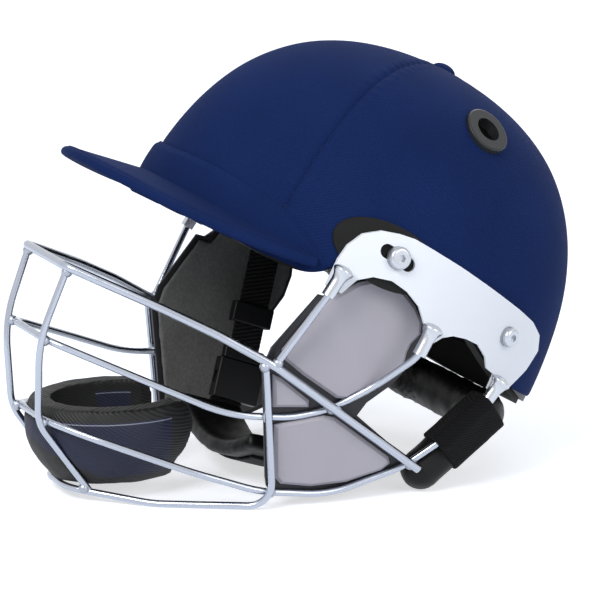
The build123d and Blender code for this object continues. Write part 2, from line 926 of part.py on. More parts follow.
groove_width = wire + 2 * groove_clearance
wire_groove = [
    bent_wire(top_route, even_bends(top_bend_shares), top_wire + 2 * groove_clearance),
    bent_wire(middle_route, even_bends(middle_bend_shares), groove_width),
    bent_wire(lower_route, even_bends(lower_bend_shares), groove_width),
    bent_wire(rail_route, even_bends(rail_bend_shares), groove_width),
    bent_wire(stay_route, stay_bends, groove_width),
]
flange_seat = -(wire / 2 + groove_clearance)
with BuildPart() as cheek_panel_left:
    for pillow in (upper_pillow_shares, triangle_pillow_shares, lower_pillow_shares):
        add(raised_pillow(pillow))
    with BuildSketch(panel_plane.offset(flange_seat)):
        with BuildLine():
            Polyline(*panel_points(flange_shares), close=True)
        make_face()
    extrude(amount=-flange_thickness)
    for groove in wire_groove:
        add(groove, mode=Mode.SUBTRACT)
    add(sockets_left.part, mode=Mode.SUBTRACT)

with BuildPart() as cheek_lining_left:
    with BuildSketch(panel_plane.offset(flange_seat - flange_thickness - small_gap)):
        with BuildLine():
            Polyline(*panel_points(flange_shares), close=True)
        make_face()
        offset(amount=-lining_depth)
    extrude(amount=-lining_depth)

# Neck roll: a round padded bar from one jaw, round the nape, to the other
roll_shares = (
    (0.758, 0.432, -0.450),
    (0.783, 0.579, -0.128),
    (0.560, 0.680, -0.150),
    (0.280, 0.760, -0.150),
)
roll_bend_shares = (0.9, 1.2, 1.7)
roll_route = all_round(roll_shares)
roll_bends = [bend * roll_diameter for bend in roll_bend_shares + tuple(reversed(roll_bend_shares))]
roll_tip = roll_route[0]
roll_along = (roll_route[1] - roll_tip).normalized()
with BuildPart() as neck_roll:
    add(bent_wire(roll_route, roll_bends, roll_diameter))
    with Locations(roll_tip, roll_route[-1]):
        Sphere(roll_diameter / 2)

# Wraps: hook-and-loop sleeves that hold the roll to the rear wires
wrap_start_share = 0.62
wrap_start = roll_tip + roll_along * (wrap_start_share * roll_diameter)
rear_mouth, rear_top = socket_ends[-1]
sleeve_width = wire + 2 * strap_clearance
wrap_plane = Plane(wrap_start, x_dir=(1, 0, 0), z_dir=roll_along)
wire_low = wrap_plane.to_local_coords(lower_route[2])
wire_high = wrap_plane.to_local_coords(rear_mouth)
with BuildPart() as wrap_left:
    with BuildSketch(wrap_plane):
        Circle(roll_diameter / 2 + wrap_thickness)
        with Locations((wire_low.X, wire_low.Y), (wire_high.X, wire_high.Y)):
            Circle(socket_diameter / 2 + wrap_thickness)
        make_hull()
    extrude(amount=wrap_length)
    fillet(wrap_left.edges().filter_by(GeomType.CIRCLE), wrap_thickness / 2)
    add(bent_wire(roll_route, roll_bends, roll_diameter + 2 * strap_clearance), mode=Mode.SUBTRACT)
    with Locations(roll_tip):
        Sphere(roll_diameter / 2 + strap_clearance, mode=Mode.SUBTRACT)
    add(bent_wire(lower_route[:4], even_bends(lower_bend_shares)[:2], sleeve_width), mode=Mode.SUBTRACT)
    with BuildSketch(Plane(rear_mouth, z_dir=rear_top - rear_mouth)):
        Circle(socket_diameter / 2 + strap_clearance)
    extrude(amount=overrun, mode=Mode.SUBTRACT)

# Depth and size of the guard's rounds, from its upper edge down, as shares
guard_section_shares = ((0.0, 0.93), (0.35, 1.0), (0.75, 0.88), (1.0, 0.72))
guard_hollow_shares = ((-0.05, 0.95), (0.45, 0.95), (1.05, 0.72))

# Spare neck guard, packed in the cage: a C-shaped padded band lying on the bottom rail
rest_up = Vector(0, -math.sin(math.radians(rest_tilt)), math.cos(math.radians(rest_tilt)))
rest_back = Vector(0, math.cos(math.radians(rest_tilt)), math.sin(math.radians(rest_tilt)))
guard_top = rest_back * guard_back + rest_up * guard_level
guard_plane = Plane(guard_top, x_dir=(1, 0, 0), z_dir=rest_up)
upright_groove = [
    bent_wire(route, upright_bends, sleeve_width)
    for route in (upright_route, [Vector(-p.X, p.Y, p.Z) for p in upright_route])
]
with BuildPart() as neck_guard:
    for depth_share, size_share in guard_section_shares:
        with BuildSketch(guard_plane.offset(-depth_share * guard_height)):
            Ellipse(size_share * guard_half_width, size_share * guard_half_length)
    loft()
    for depth_share, size_share in guard_hollow_shares:
        with BuildSketch(guard_plane.offset(-depth_share * guard_height)):
            Ellipse(
                size_share * guard_half_width - guard_thickness,
                size_share * guard_half_length - guard_thickness,
            )
    loft(mode=Mode.SUBTRACT)
    with BuildSketch(guard_plane.offset(overrun)):
        with Locations((0, guard_half_length)):
            Rectangle(2 * (guard_half_width - guard_thickness), guard_half_length)
    extrude(amount=-4 * overrun, mode=Mode.SUBTRACT)
    for groove in upright_groove:
        add(groove, mode=Mode.SUBTRACT)
    add(bent_wire(lower_route, even_bends(lower_bend_shares), sleeve_width), mode=Mode.SUBTRACT)
    add(bent_wire(rail_route, even_bends(rail_bend_shares), sleeve_width), mode=Mode.SUBTRACT)

# Chin strap: flat webbing cut from a side shape and a front shape, so that it bends true
anchor_face = anchor_reach_share * half_width
web_side_shares = ((anchor_shares[1], anchor_shares[2]), (-0.008, -0.485), (-0.075, -0.70))
web_front_shares = ((anchor_reach_share, 0.147), (0.538, -0.554), (0.440, -0.640))
web_side = [(y * half_length, z * crown_height) for y, z in web_side_shares]
web_front = [(anchor_face, anchor.Z + web_width / 2)]
web_front += [(x * half_width, z * crown_height) for x, z in web_front_shares]


def web_band(clearance):
    """Both straps from the rivets down to the cup, thickened by a clearance."""
    with BuildPart(mode=Mode.PRIVATE) as body:
        with BuildSketch(Plane.YZ):
            with BuildLine():
                FilletPolyline(*web_side, radius=web_width)
            trace(line_width=web_width + 2 * clearance)
            with Locations((anchor.Y, anchor.Z)):
                Circle(web_width / 2 + clearance)
        extrude(amount=half_width)
        with BuildSketch(Plane.XZ):
            with BuildLine():
                FilletPolyline(*web_front, radius=web_width)
            trace(line_width=web_thickness + 2 * clearance)
        extrude(amount=half_length, both=True, mode=Mode.INTERSECT)
    return body.part


left_web = web_band(0)
pivot_bore = rod(anchor, Vector(1, 0, 0), rivet_shank / 2 + pivot_gap, overrun / 2, overrun / 2)
with BuildPart() as strap_webbing_left:
    add(left_web)
    add(pivot_bore, mode=Mode.SUBTRACT)

# Anchor rivets: an inner head, a shank through liner and shell, and a collar behind the web
rivet_face = anchor_face - web_thickness / 2 - pivot_gap
collar_face = anchor_face + web_thickness / 2 + pivot_gap
collar_wall = head_form(liner_inner - small_gap)
collar_share = 0.65
with BuildPart() as strap_rivets:
    with BuildSketch(Plane.YZ.offset(collar_face)):
        with Locations((anchor.Y, anchor.Z)):
            Circle(collar_share * rivet_head / 2)
    extrude(amount=rivet_head)
    add(collar_wall, mode=Mode.INTERSECT)
    with BuildSketch(Plane.YZ.offset(rivet_face - rivet_rise)):
        with Locations((anchor.Y, anchor.Z)):
            Circle(rivet_head / 2)
    extrude(amount=rivet_rise, taper=-rivet_taper)
    with BuildSketch(Plane.YZ.offset(rivet_face)):
        with Locations((anchor.Y, anchor.Z)):
            Circle(rivet_shank / 2)
    extrude(amount=shank_reach_share * overrun)
    mirror(about=Plane.YZ)

# Side-release buckle on the right strap, drawn on the web's own plane with v pointing down
web_fall = (web_front[1][0] - web_front[2][0]) / (web_front[1][1] - web_front[2][1])
web_lean = (web_side[1][0] - web_side[0][0]) / (web_side[0][1] - web_side[1][1])


def web_place(level):
    """The middle of the right web at a height."""
    return Vector(
        web_fall * (web_front[1][1] - level) - web_front[1][0],
        web_side[0][0] + web_lean * (web_side[0][1] - level),
        level,
    )


web_down = (web_place(-crown_height) - web_place(0)).normalized()
web_face = web_down.cross(Vector(0, 1, 0)).normalized()
buckle_plane = Plane(web_place(buckle_level), x_dir=web_down.cross(web_face), z_dir=web_face)
slider_plane = Plane(web_place(slider_level), x_dir=web_down.cross(web_face), z_dir=web_face)


def block(plane, middle, width, length, depth, lift=0):
    """A flat block on a plane, centred on its thickness."""
    with BuildPart(mode=Mode.PRIVATE) as body:
        with BuildSketch(plane.offset(lift)):
            with Locations((0, middle)):
                Rectangle(width, length)
        extrude(amount=depth / 2, both=True)
    return body.part


prong_length_share = 0.62
prong_side_share = 0.32
prong_width_share = 0.09
window_share = 0.30
wall_share = 0.07
guide_share = 0.24
male_width_share = 0.86
mouth = -buckle_length / 6
female_middle = mouth + buckle_length / 2
male_length = buckle_length / 3
male_middle = mouth - small_gap - male_length / 2
prong_length = prong_length_share * buckle_length
prong_side = prong_side_share * buckle_width
prong_width = prong_width_share * buckle_width
window_length = window_share * buckle_length
wall = wall_share * buckle_width
cavity_depth = buckle_depth - 2 * wall
guide_width = guide_share * buckle_width
room = 2 * strap_clearance

with BuildPart() as buckle_female:
    add(block(buckle_plane, female_middle, buckle_width, buckle_length, buckle_depth))
    fillet(buckle_female.edges(), buckle_rounding)
    add(
        block(buckle_plane, female_middle - wall, buckle_width - 2 * wall, buckle_length, cavity_depth),
        mode=Mode.SUBTRACT,
    )
    add(
        block(buckle_plane, female_middle, 2 * buckle_width, window_length, cavity_depth),
        mode=Mode.SUBTRACT,
    )

with BuildPart() as buckle_male:
    add(block(buckle_plane, male_middle, male_width_share * buckle_width, male_length, cavity_depth + wall))
    fillet(buckle_male.edges(), buckle_rounding)
    add(
        block(
            buckle_plane,
            male_middle + male_length / 2 + buckle_length / 6,
            guide_width,
            buckle_length / 3,
            cavity_depth - room,
        )
    )


def prong(side):
    """A springy arm whose head fills the side window."""
    root = mouth + room
    tip = root + prong_length
    inner = prong_side - prong_width
    outer = prong_side
    head = buckle_width / 2 - wall / 3
    with BuildPart(mode=Mode.PRIVATE) as body:
        with BuildSketch(buckle_plane):
            with BuildLine():
                Polyline(
                    (side * inner, root),
                    (side * outer, root),
                    (side * outer, female_middle - window_length / 2 + room),
                    (side * head, female_middle - window_length / 4),
                    (side * head, female_middle + window_length / 2 - room),
                    (side * inner, tip),
                    close=True,
                )
            make_face()
        extrude(amount=(cavity_depth - room) / 2, both=True)
    return body.part


with BuildPart() as buckle_prong_front:
    add(prong(1))

with BuildPart() as buckle_prong_rear:
    add(prong(-1))

# Ladder slider on the upper web
with BuildPart() as strap_slider:
    add(block(slider_plane, 0, web_width + 3 * wall, buckle_length / 2, web_thickness + 2 * wall))
    fillet(strap_slider.edges(), buckle_rounding)
    add(
        block(slider_plane, 0, web_width + room, buckle_length, web_thickness + room),
        mode=Mode.SUBTRACT,
    )

# The right web in two lengths, parted by the buckle
with BuildPart() as strap_webbing_right:
    add(strap_webbing_left.part)
    mirror(about=Plane.YZ, mode=Mode.REPLACE)
    add(
        block(
            buckle_plane,
            (male_middle - male_length / 2 + mouth + buckle_length) / 2,
            2 * buckle_width,
            mouth + buckle_length - male_middle + male_length / 2,
            2 * buckle_depth,
        ),
        mode=Mode.SUBTRACT,
    )

# Chin cup: a curved pad under the chin with ribbed webbing along its outer face
cup_origin = Vector(0, cup_middle_share * half_length, 0)
cup_plane = Plane(
    cup_origin,
    x_dir=(1, 0, 0),
    z_dir=(0, -math.cos(math.radians(cup_tilt)), -math.sin(math.radians(cup_tilt))),
)
cup_end = cup_end_share * crown_height
cup_low = cup_low_share * crown_height
with BuildPart() as chin_cup:
    with BuildSketch(cup_plane):
        with BuildLine():
            ThreePointArc((-cup_half_width, cup_end), (0, cup_low), (cup_half_width, cup_end))
        trace(line_width=cup_thickness)
    extrude(amount=cup_width / 2, both=True)
    fillet(chin_cup.edges(), cup_rounding)
    add(left_web, mode=Mode.SUBTRACT)
    add(left_web.mirror(Plane.YZ), mode=Mode.SUBTRACT)

cup_radius = (cup_half_width**2 + (cup_end - cup_low) ** 2) / 2 / (cup_end - cup_low)
cup_web_radius = cup_radius + cup_thickness / 2 + web_thickness / 2
cup_web_share = 0.75
cup_web_turn = cup_web_share * math.degrees(math.asin(cup_half_width / cup_radius))
with BuildPart() as cup_webbing:
    with BuildSketch(cup_plane):
        with BuildLine():
            CenterArc((0, cup_low + cup_radius), cup_web_radius, -90 - cup_web_turn, 2 * cup_web_turn)
        trace(line_width=web_thickness)
    extrude(amount=web_width / 2, both=True)

# Right-hand copies of the pieces drawn on the left
with BuildPart() as front_upright_right:
    add(front_upright_left.part)
    mirror(about=Plane.YZ, mode=Mode.REPLACE)

with BuildPart() as front_stay_right:
    add(front_stay_left.part)
    mirror(about=Plane.YZ, mode=Mode.REPLACE)

with BuildPart() as sockets_right:
    add(sockets_left.part)
    mirror(about=Plane.YZ, mode=Mode.REPLACE)

with BuildPart() as cheek_panel_right:
    add(cheek_panel_left.part)
    mirror(about=Plane.YZ, mode=Mode.REPLACE)

with BuildPart() as cheek_lining_right:
    add(cheek_lining_left.part)
    mirror(about=Plane.YZ, mode=Mode.REPLACE)

with BuildPart() as wrap_right:
    add(wrap_left.part)
    mirror(about=Plane.YZ, mode=Mode.REPLACE)

# Set the helmet down: front raised by the rest tilt, lowest point on the floor, and the
# middle of its box over the origin
pieces = (
    hard_shell,
    cover_front,
    cover_left,
    cover_right,
    cover_brow,
    top_button,
    vent_grommets,
    impact_liner,
    brow_pad,
    side_pad_left,
    side_pad_right,
    rear_pad,
    crown_pad,
    peak_core,
    peak_cover,
    under_peak_lining,
    side_plate_left,
    side_plate_right,
    plate_pads,
    sockets_left,
    sockets_right,
    front_screws,
    rear_screws,
    washers,
    shell_inserts,
    top_bar,
    middle_bar,
    lower_bar,
    bottom_rail,
    front_upright_left,
    front_upright_right,
    front_stay_left,
    front_stay_right,
    weld_beads,
    cheek_panel_left,
    cheek_panel_right,
    cheek_lining_left,
    cheek_lining_right,
    neck_roll,
    wrap_left,
    wrap_right,
    neck_guard,
    strap_rivets,
    strap_webbing_left,
    strap_webbing_right,
    strap_slider,
    buckle_female,
    buckle_male,
    buckle_prong_front,
    buckle_prong_rear,
    chin_cup,
    cup_webbing,
)
for piece in pieces:
    piece.part = Rot(-rest_tilt, 0, 0) * piece.part
boxes = [piece.part.bounding_box() for piece in pieces]
front_end = min(box.min.Y for box in boxes)
rear_end = max(box.max.Y for box in boxes)
lowest = min(box.min.Z for box in boxes)
for piece in pieces:
    piece.part = Pos(0, -(front_end + rear_end) / 2, -lowest) * piece.part

hard_shell.part.label = "hard_shell"
export_step(hard_shell.part, "parts/hard_shell.step")
cover_front.part.label = "cover_front"
export_step(cover_front.part, "parts/cover_front.step")
cover_left.part.label = "cover_left"
export_step(cover_left.part, "parts/cover_left.step")
cover_right.part.label = "cover_right"
export_step(cover_right.part, "parts/cover_right.step")
cover_brow.part.label = "cover_brow"
export_step(cover_brow.part, "parts/cover_brow.step")
top_button.part.label = "top_button"
export_step(top_button.part, "parts/top_button.step")
vent_grommets.part.label = "vent_grommets"
export_step(vent_grommets.part, "parts/vent_grommets.step")
impact_liner.part.label = "impact_liner"
export_step(impact_liner.part, "parts/impact_liner.step")
brow_pad.part.label = "brow_pad"
export_step(brow_pad.part, "parts/brow_pad.step")
side_pad_left.part.label = "side_pad_left"
export_step(side_pad_left.part, "parts/side_pad_left.step")
side_pad_right.part.label = "side_pad_right"
export_step(side_pad_right.part, "parts/side_pad_right.step")
rear_pad.part.label = "rear_pad"
export_step(rear_pad.part, "parts/rear_pad.step")
crown_pad.part.label = "crown_pad"
export_step(crown_pad.part, "parts/crown_pad.step")
peak_core.part.label = "peak_core"
export_step(peak_core.part, "parts/peak_core.step")
peak_cover.part.label = "peak_cover"
export_step(peak_cover.part, "parts/peak_cover.step")
under_peak_lining.part.label = "under_peak_lining"
export_step(under_peak_lining.part, "parts/under_peak_lining.step")
side_plate_left.part.label = "side_plate_left"
export_step(side_plate_left.part, "parts/side_plate_left.step")
side_plate_right.part.label = "side_plate_right"
export_step(side_plate_right.part, "parts/side_plate_right.step")
plate_pads.part.label = "plate_pads"
export_step(plate_pads.part, "parts/plate_pads.step")
sockets_left.part.label = "sockets_left"
export_step(sockets_left.part, "parts/sockets_left.step")
sockets_right.part.label = "sockets_right"
export_step(sockets_right.part, "parts/sockets_right.step")
front_screws.part.label = "front_screws"
export_step(front_screws.part, "parts/front_screws.step")
rear_screws.part.label = "rear_screws"
export_step(rear_screws.part, "parts/rear_screws.step")
washers.part.label = "washers"
export_step(washers.part, "parts/washers.step")
shell_inserts.part.label = "shell_inserts"
export_step(shell_inserts.part, "parts/shell_inserts.step")
top_bar.part.label = "top_bar"
export_step(top_bar.part, "parts/top_bar.step")
middle_bar.part.label = "middle_bar"
export_step(middle_bar.part, "parts/middle_bar.step")
lower_bar.part.label = "lower_bar"
export_step(lower_bar.part, "parts/lower_bar.step")
bottom_rail.part.label = "bottom_rail"
export_step(bottom_rail.part, "parts/bottom_rail.step")
front_upright_left.part.label = "front_upright_left"
export_step(front_upright_left.part, "parts/front_upright_left.step")
front_upright_right.part.label = "front_upright_right"
export_step(front_upright_right.part, "parts/front_upright_right.step")
front_stay_left.part.label = "front_stay_left"
export_step(front_stay_left.part, "parts/front_stay_left.step")
front_stay_right.part.label = "front_stay_right"
export_step(front_stay_right.part, "parts/front_stay_right.step")
weld_beads.part.label = "weld_beads"
export_step(weld_beads.part, "parts/weld_beads.step")
cheek_panel_left.part.label = "cheek_panel_left"
export_step(cheek_panel_left.part, "parts/cheek_panel_left.step")
cheek_panel_right.part.label = "cheek_panel_right"
export_step(cheek_panel_right.part, "parts/cheek_panel_right.step")
cheek_lining_left.part.label = "cheek_lining_left"
export_step(cheek_lining_left.part, "parts/cheek_lining_left.step")
cheek_lining_right.part.label = "cheek_lining_right"
export_step(cheek_lining_right.part, "parts/cheek_lining_right.step")
neck_roll.part.label = "neck_roll"
export_step(neck_roll.part, "parts/neck_roll.step")
wrap_left.part.label = "wrap_left"
export_step(wrap_left.part, "parts/wrap_left.step")
wrap_right.part.label = "wrap_right"
export_step(wrap_right.part, "parts/wrap_right.step")
neck_guard.part.label = "neck_guard"
export_step(neck_guard.part, "parts/neck_guard.step")
strap_rivets.part.label = "strap_rivets"
export_step(strap_rivets.part, "parts/strap_rivets.step")
strap_webbing_left.part.label = "strap_webbing_left"
export_step(strap_webbing_left.part, "parts/strap_webbing_left.step")
strap_webbing_right.part.label = "strap_webbing_right"
export_step(strap_webbing_right.part, "parts/strap_webbing_right.step")
strap_slider.part.label = "strap_slider"
export_step(strap_slider.part, "parts/strap_slider.step")
buckle_female.part.label = "buckle_female"
export_step(buckle_female.part, "parts/buckle_female.step")
buckle_male.part.label = "buckle_male"
export_step(buckle_male.part, "parts/buckle_male.step")
buckle_prong_front.part.label = "buckle_prong_front"
export_step(buckle_prong_front.part, "parts/buckle_prong_front.step")
buckle_prong_rear.part.label = "buckle_prong_rear"
export_step(buckle_prong_rear.part, "parts/buckle_prong_rear.step")
chin_cup.part.label = "chin_cup"
export_step(chin_cup.part, "parts/chin_cup.step")
cup_webbing.part.label = "cup_webbing"
export_step(cup_webbing.part, "parts/cup_webbing.step")
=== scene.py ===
import math
import bpy
import numpy as np
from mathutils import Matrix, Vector


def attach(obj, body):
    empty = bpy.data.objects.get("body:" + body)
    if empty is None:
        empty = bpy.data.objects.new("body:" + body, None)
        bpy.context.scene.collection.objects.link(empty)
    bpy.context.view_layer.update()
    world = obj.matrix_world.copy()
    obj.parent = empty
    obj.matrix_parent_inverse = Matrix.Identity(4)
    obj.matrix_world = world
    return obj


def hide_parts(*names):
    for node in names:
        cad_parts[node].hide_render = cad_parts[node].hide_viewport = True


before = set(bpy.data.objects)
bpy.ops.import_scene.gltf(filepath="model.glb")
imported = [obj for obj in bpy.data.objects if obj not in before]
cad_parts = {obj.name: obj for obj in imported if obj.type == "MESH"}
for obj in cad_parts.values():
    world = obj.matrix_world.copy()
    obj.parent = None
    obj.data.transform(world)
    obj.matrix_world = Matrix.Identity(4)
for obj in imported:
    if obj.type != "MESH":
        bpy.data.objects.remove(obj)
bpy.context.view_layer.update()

# Camera: the helmet is seen from its left front, a little above the floor, through a long
# lens, so that its near and far sides keep almost the same size. Places are in metres.
aim = Vector((0.0, 0.00401, 0.09636))
camera_place = Vector((1.78026, -0.78861, 0.54626))
camera_back = camera_place - aim
camera_data = bpy.data.cameras.new("studio_camera")
camera_data.sensor_width = 36.0
camera_data.lens = 210.0
camera = bpy.data.objects.new("studio_camera", camera_data)
camera.location = aim + camera_back
camera.rotation_euler = camera_back.to_track_quat("Z", "Y").to_euler()
bpy.context.scene.collection.objects.link(camera)
bpy.context.scene.camera = camera
bpy.context.scene.view_settings.view_transform = "Standard"

# Studio: a pale floor that runs out into white air, a large soft lamp high on the peak's side,
# a weaker one on the plate's side and one behind that lights the rear edge. Metal sees the
# same white as the camera does.
floor_size = 9.0
floor_glow = 0.6
air_strength = 0.5
white_light = (1, 1, 1, 1)


def linear(code):
    """An sRGB hex colour as the linear values that a shader takes."""
    parts = [int(code[i : i + 2], 16) / 255 for i in (1, 3, 5)]
    return [p / 12.92 if p <= 0.04045 else ((p + 0.055) / 1.055) ** 2.4 for p in parts] + [1.0]


def add_node(tree, kind, inputs=None, **settings):
    """Adds one node with its settings, and sets or links its inputs."""
    made = tree.nodes.new(kind)
    for name, value in settings.items():
        setattr(made, name, value)
    for name, value in (inputs or {}).items():
        if isinstance(value, bpy.types.NodeSocket):
            tree.links.new(value, made.inputs[name])
        else:
            made.inputs[name].default_value = value
    return made


def new_material(name):
    """An empty material and its tree."""
    made = bpy.data.materials.new(name)
    made.use_nodes = True
    made.node_tree.nodes.clear()
    return made, made.node_tree


def seen_rays(tree):
    """1 for the rays that show the background: from the camera, through glass or off metal."""
    ray = add_node(tree, "ShaderNodeLightPath")
    direct = add_node(
        tree,
        "ShaderNodeMath",
        {0: ray.outputs["Is Camera Ray"], 1: ray.outputs["Is Transmission Ray"]},
        operation="MAXIMUM",
    )
    return add_node(
        tree,
        "ShaderNodeMath",
        {0: direct.outputs[0], 1: ray.outputs["Is Glossy Ray"]},
        operation="MAXIMUM",
    )


bpy.ops.object.select_all(action="DESELECT")
bpy.ops.mesh.primitive_plane_add(size=floor_size)
floor = bpy.context.object
floor.name = "studio_floor"
floor_finish, tree = new_material("matt_white_floor")
seen = seen_rays(tree)
glow = add_node(tree, "ShaderNodeMath", {0: seen.outputs[0], 1: floor_glow}, operation="MULTIPLY")
paint = add_node(tree, "ShaderNodeBsdfDiffuse", {"Color": linear("#DADFE8")})
lift = add_node(tree, "ShaderNodeEmission", {"Color": white_light, "Strength": glow.outputs[0]})
both = add_node(tree, "ShaderNodeAddShader", {0: paint.outputs[0], 1: lift.outputs[0]})
add_node(tree, "ShaderNodeOutputMaterial", {"Surface": both.outputs[0]})
floor.data.materials.append(floor_finish)

world = bpy.data.worlds.new("studio_air")
bpy.context.scene.world = world
world.use_nodes = True
tree = world.node_tree
tree.nodes.clear()
seen = seen_rays(tree)
air = add_node(
    tree, "ShaderNodeBackground", {"Color": linear("#E9EDF4"), "Strength": air_strength}
)
white = add_node(tree, "ShaderNodeBackground", {"Color": white_light, "Strength": 1.0})
shown = add_node(
    tree, "ShaderNodeMixShader", {0: seen.outputs[0], 1: air.outputs[0], 2: white.outputs[0]}
)
add_node(tree, "ShaderNodeOutputWorld", {"Surface": shown.outputs[0]})

for lamp_name, place, width, power in (
    ("key_lamp", (1.1, -1.7, 1.9), 1.0, 38.0),
    ("side_lamp", (1.9, 0.9, 1.1), 1.1, 13.0),
    ("rear_lamp", (-1.2, 1.4, 1.6), 1.2, 12.0),
):
    lamp_data = bpy.data.lights.new(lamp_name, "AREA")
    lamp_data.size = width
    lamp_data.energy = power
    lamp = bpy.data.objects.new(lamp_name, lamp_data)
    lamp.location = place
    lamp.rotation_euler = (Vector(place) - aim).to_track_quat("Z", "Y").to_euler()
    bpy.context.scene.collection.objects.link(lamp)

# Cloth cover: navy polyester cut as a front gore, two side gores and a padded brow band, sewn
# together and glued over the shell. The seams lie in shallow valleys with small puckers.
# Sizes from here on are in millimetres on the worn helmet, which lies tilted on the floor.
half_width = 104.0
half_length = 133.0
crown_height = 144.5
fullness = 0.652
skirt_depth = 100
cloth_thickness = 1.2
lean = math.radians(29.0)
shift_back = 24.168
shift_up = 96.622
inside_head = (0, 0, 20)
smooth_angle = 50.0
merge_metres = 0.00002


def laid_down(points):
    """Places on the worn helmet, in millimetres, as it lies on the floor, in metres."""
    x, y, z = points[:, 0], points[:, 1], points[:, 2]
    back = y * math.cos(lean) + z * math.sin(lean) + shift_back
    up = -y * math.sin(lean) + z * math.cos(lean) + shift_up
    return np.stack([x, back, up], axis=1) / 1000


def smooth_line(table, steps=24):
    """A smooth line through a table of points, as closely spaced points."""
    table = np.array(table, float)
    ends = np.vstack([2 * table[0] - table[1], table, 2 * table[-1] - table[-2]])
    out = []
    for a, b, c, d in zip(ends[:-3], ends[1:-2], ends[2:-1], ends[3:]):
        square, cube = 2 * a - 5 * b + 4 * c - d, 3 * b - a - 3 * c + d
        for t in np.linspace(0, 1, steps, endpoint=False):
            out.append(0.5 * (2 * b + (c - a) * t + square * t**2 + cube * t**3))
    out.append(table[-1])
    return np.array(out)


def dome(turn, drop, outward=0.0, forward=0.0):
    """The head form at an angle round the crown from the front, and a drop from 0 at the
    crown to 1 at the rim."""
    side = half_width + outward
    top = crown_height + outward
    t = np.clip(1 - drop, 0, 1)
    reach = side * ((1 - t) ** 3 + 3 * (1 - t) ** 2 * t + 3 * (1 - t) * t**2 * fullness)
    up = top * (3 * (1 - t) ** 2 * t * fullness + 3 * (1 - t) * t**2 + t**3)
    up = up - np.clip(drop - 1, 0, 1) * skirt_depth
    back = -reach * np.cos(turn) * (half_length + outward + forward) / side
    return np.stack([reach * np.sin(turn), back, up], axis=-1)


def ripple(points, size):
    """A smooth uneven field from about -1 to 1, whose swells lie about one size apart. Its
    waves cross at uneven rates, so that no swell repeats."""
    a, b, c = (points * 2.2 / size).T
    first = np.sin(1.9 * a + 0.7 * b + 1.7 * np.sin(0.9 * c + 0.6 * b))
    second = np.sin(1.7 * b - 0.8 * c + 1.7 * np.sin(1.1 * a + 0.4))
    third = np.sin(1.8 * c + 0.5 * a + 1.7 * np.sin(1.0 * b - 1.1))
    return (first + second + third) / 3


def ridge(distance, width):
    """1 on a line, fading to nothing about two widths away from it."""
    return np.exp(-((distance / width) ** 2))


def shaped_grid(name, across, along, shape, inside, weave):
    """A grid primitive laid on a form: shape(u, v) gives its places, its faces point away from
    a place inside, and weave is the size of its map in millimetres."""
    bpy.ops.object.select_all(action="DESELECT")
    bpy.ops.mesh.primitive_grid_add(
        x_subdivisions=across, y_subdivisions=along, size=1.0, calc_uvs=True
    )
    piece = bpy.context.object
    piece.name = name
    mesh = piece.data
    flat = np.empty(len(mesh.vertices) * 3)
    mesh.vertices.foreach_get("co", flat)
    flat = flat.reshape(-1, 3)
    places = shape(flat[:, 0] + 0.5, flat[:, 1] + 0.5)
    mesh.vertices.foreach_set("co", laid_down(places).ravel())
    layer = mesh.uv_layers.active.data
    uv = np.empty(len(layer) * 2)
    layer.foreach_get("uv", uv)
    layer.foreach_set("uv", (uv.reshape(-1, 2) * np.array(weave)).ravel())
    mesh.update()
    middle = Vector(laid_down(np.array([inside], float))[0])
    facing = sum((face.center - middle).dot(face.normal) * face.area for face in mesh.polygons)
    bpy.ops.object.mode_set(mode="EDIT")
    bpy.ops.mesh.select_all(action="SELECT")
    bpy.ops.mesh.remove_doubles(threshold=merge_metres)
    if facing < 0:
        bpy.ops.mesh.flip_normals()
    bpy.ops.object.mode_set(mode="OBJECT")
    return piece


def with_wall(piece, thickness):
    """Gives a sheet its thickness, inwards from its face."""
    wall = piece.modifiers.new("wall", "SOLIDIFY")
    wall.thickness = thickness / 1000
    wall.offset = -1.0
    bpy.context.view_layer.objects.active = piece
    bpy.ops.object.modifier_apply(modifier=wall.name)


def dress(piece, finish, body, nodes):
    """Gives a finished piece its material, shading, body and the nodes it stands for."""
    piece.data.materials.clear()
    piece.data.materials.append(finish)
    bpy.ops.object.select_all(action="DESELECT")
    piece.select_set(True)
    bpy.context.view_layer.objects.active = piece
    bpy.ops.object.shade_smooth_by_angle(angle=math.radians(smooth_angle))
    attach(piece, body)
    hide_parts(*nodes)


# Woven polyester twill: dyed navy yarn, matt with a faint sheen. The real twill line is about
# 0.7 mm apart, and it is drawn at 1.1 mm so that it just shows.
twill_line_mm = 1.1
twill_lean = math.radians(38)
wave_band = 0.314  # a band of a wave texture at scale 1, in the units of its map


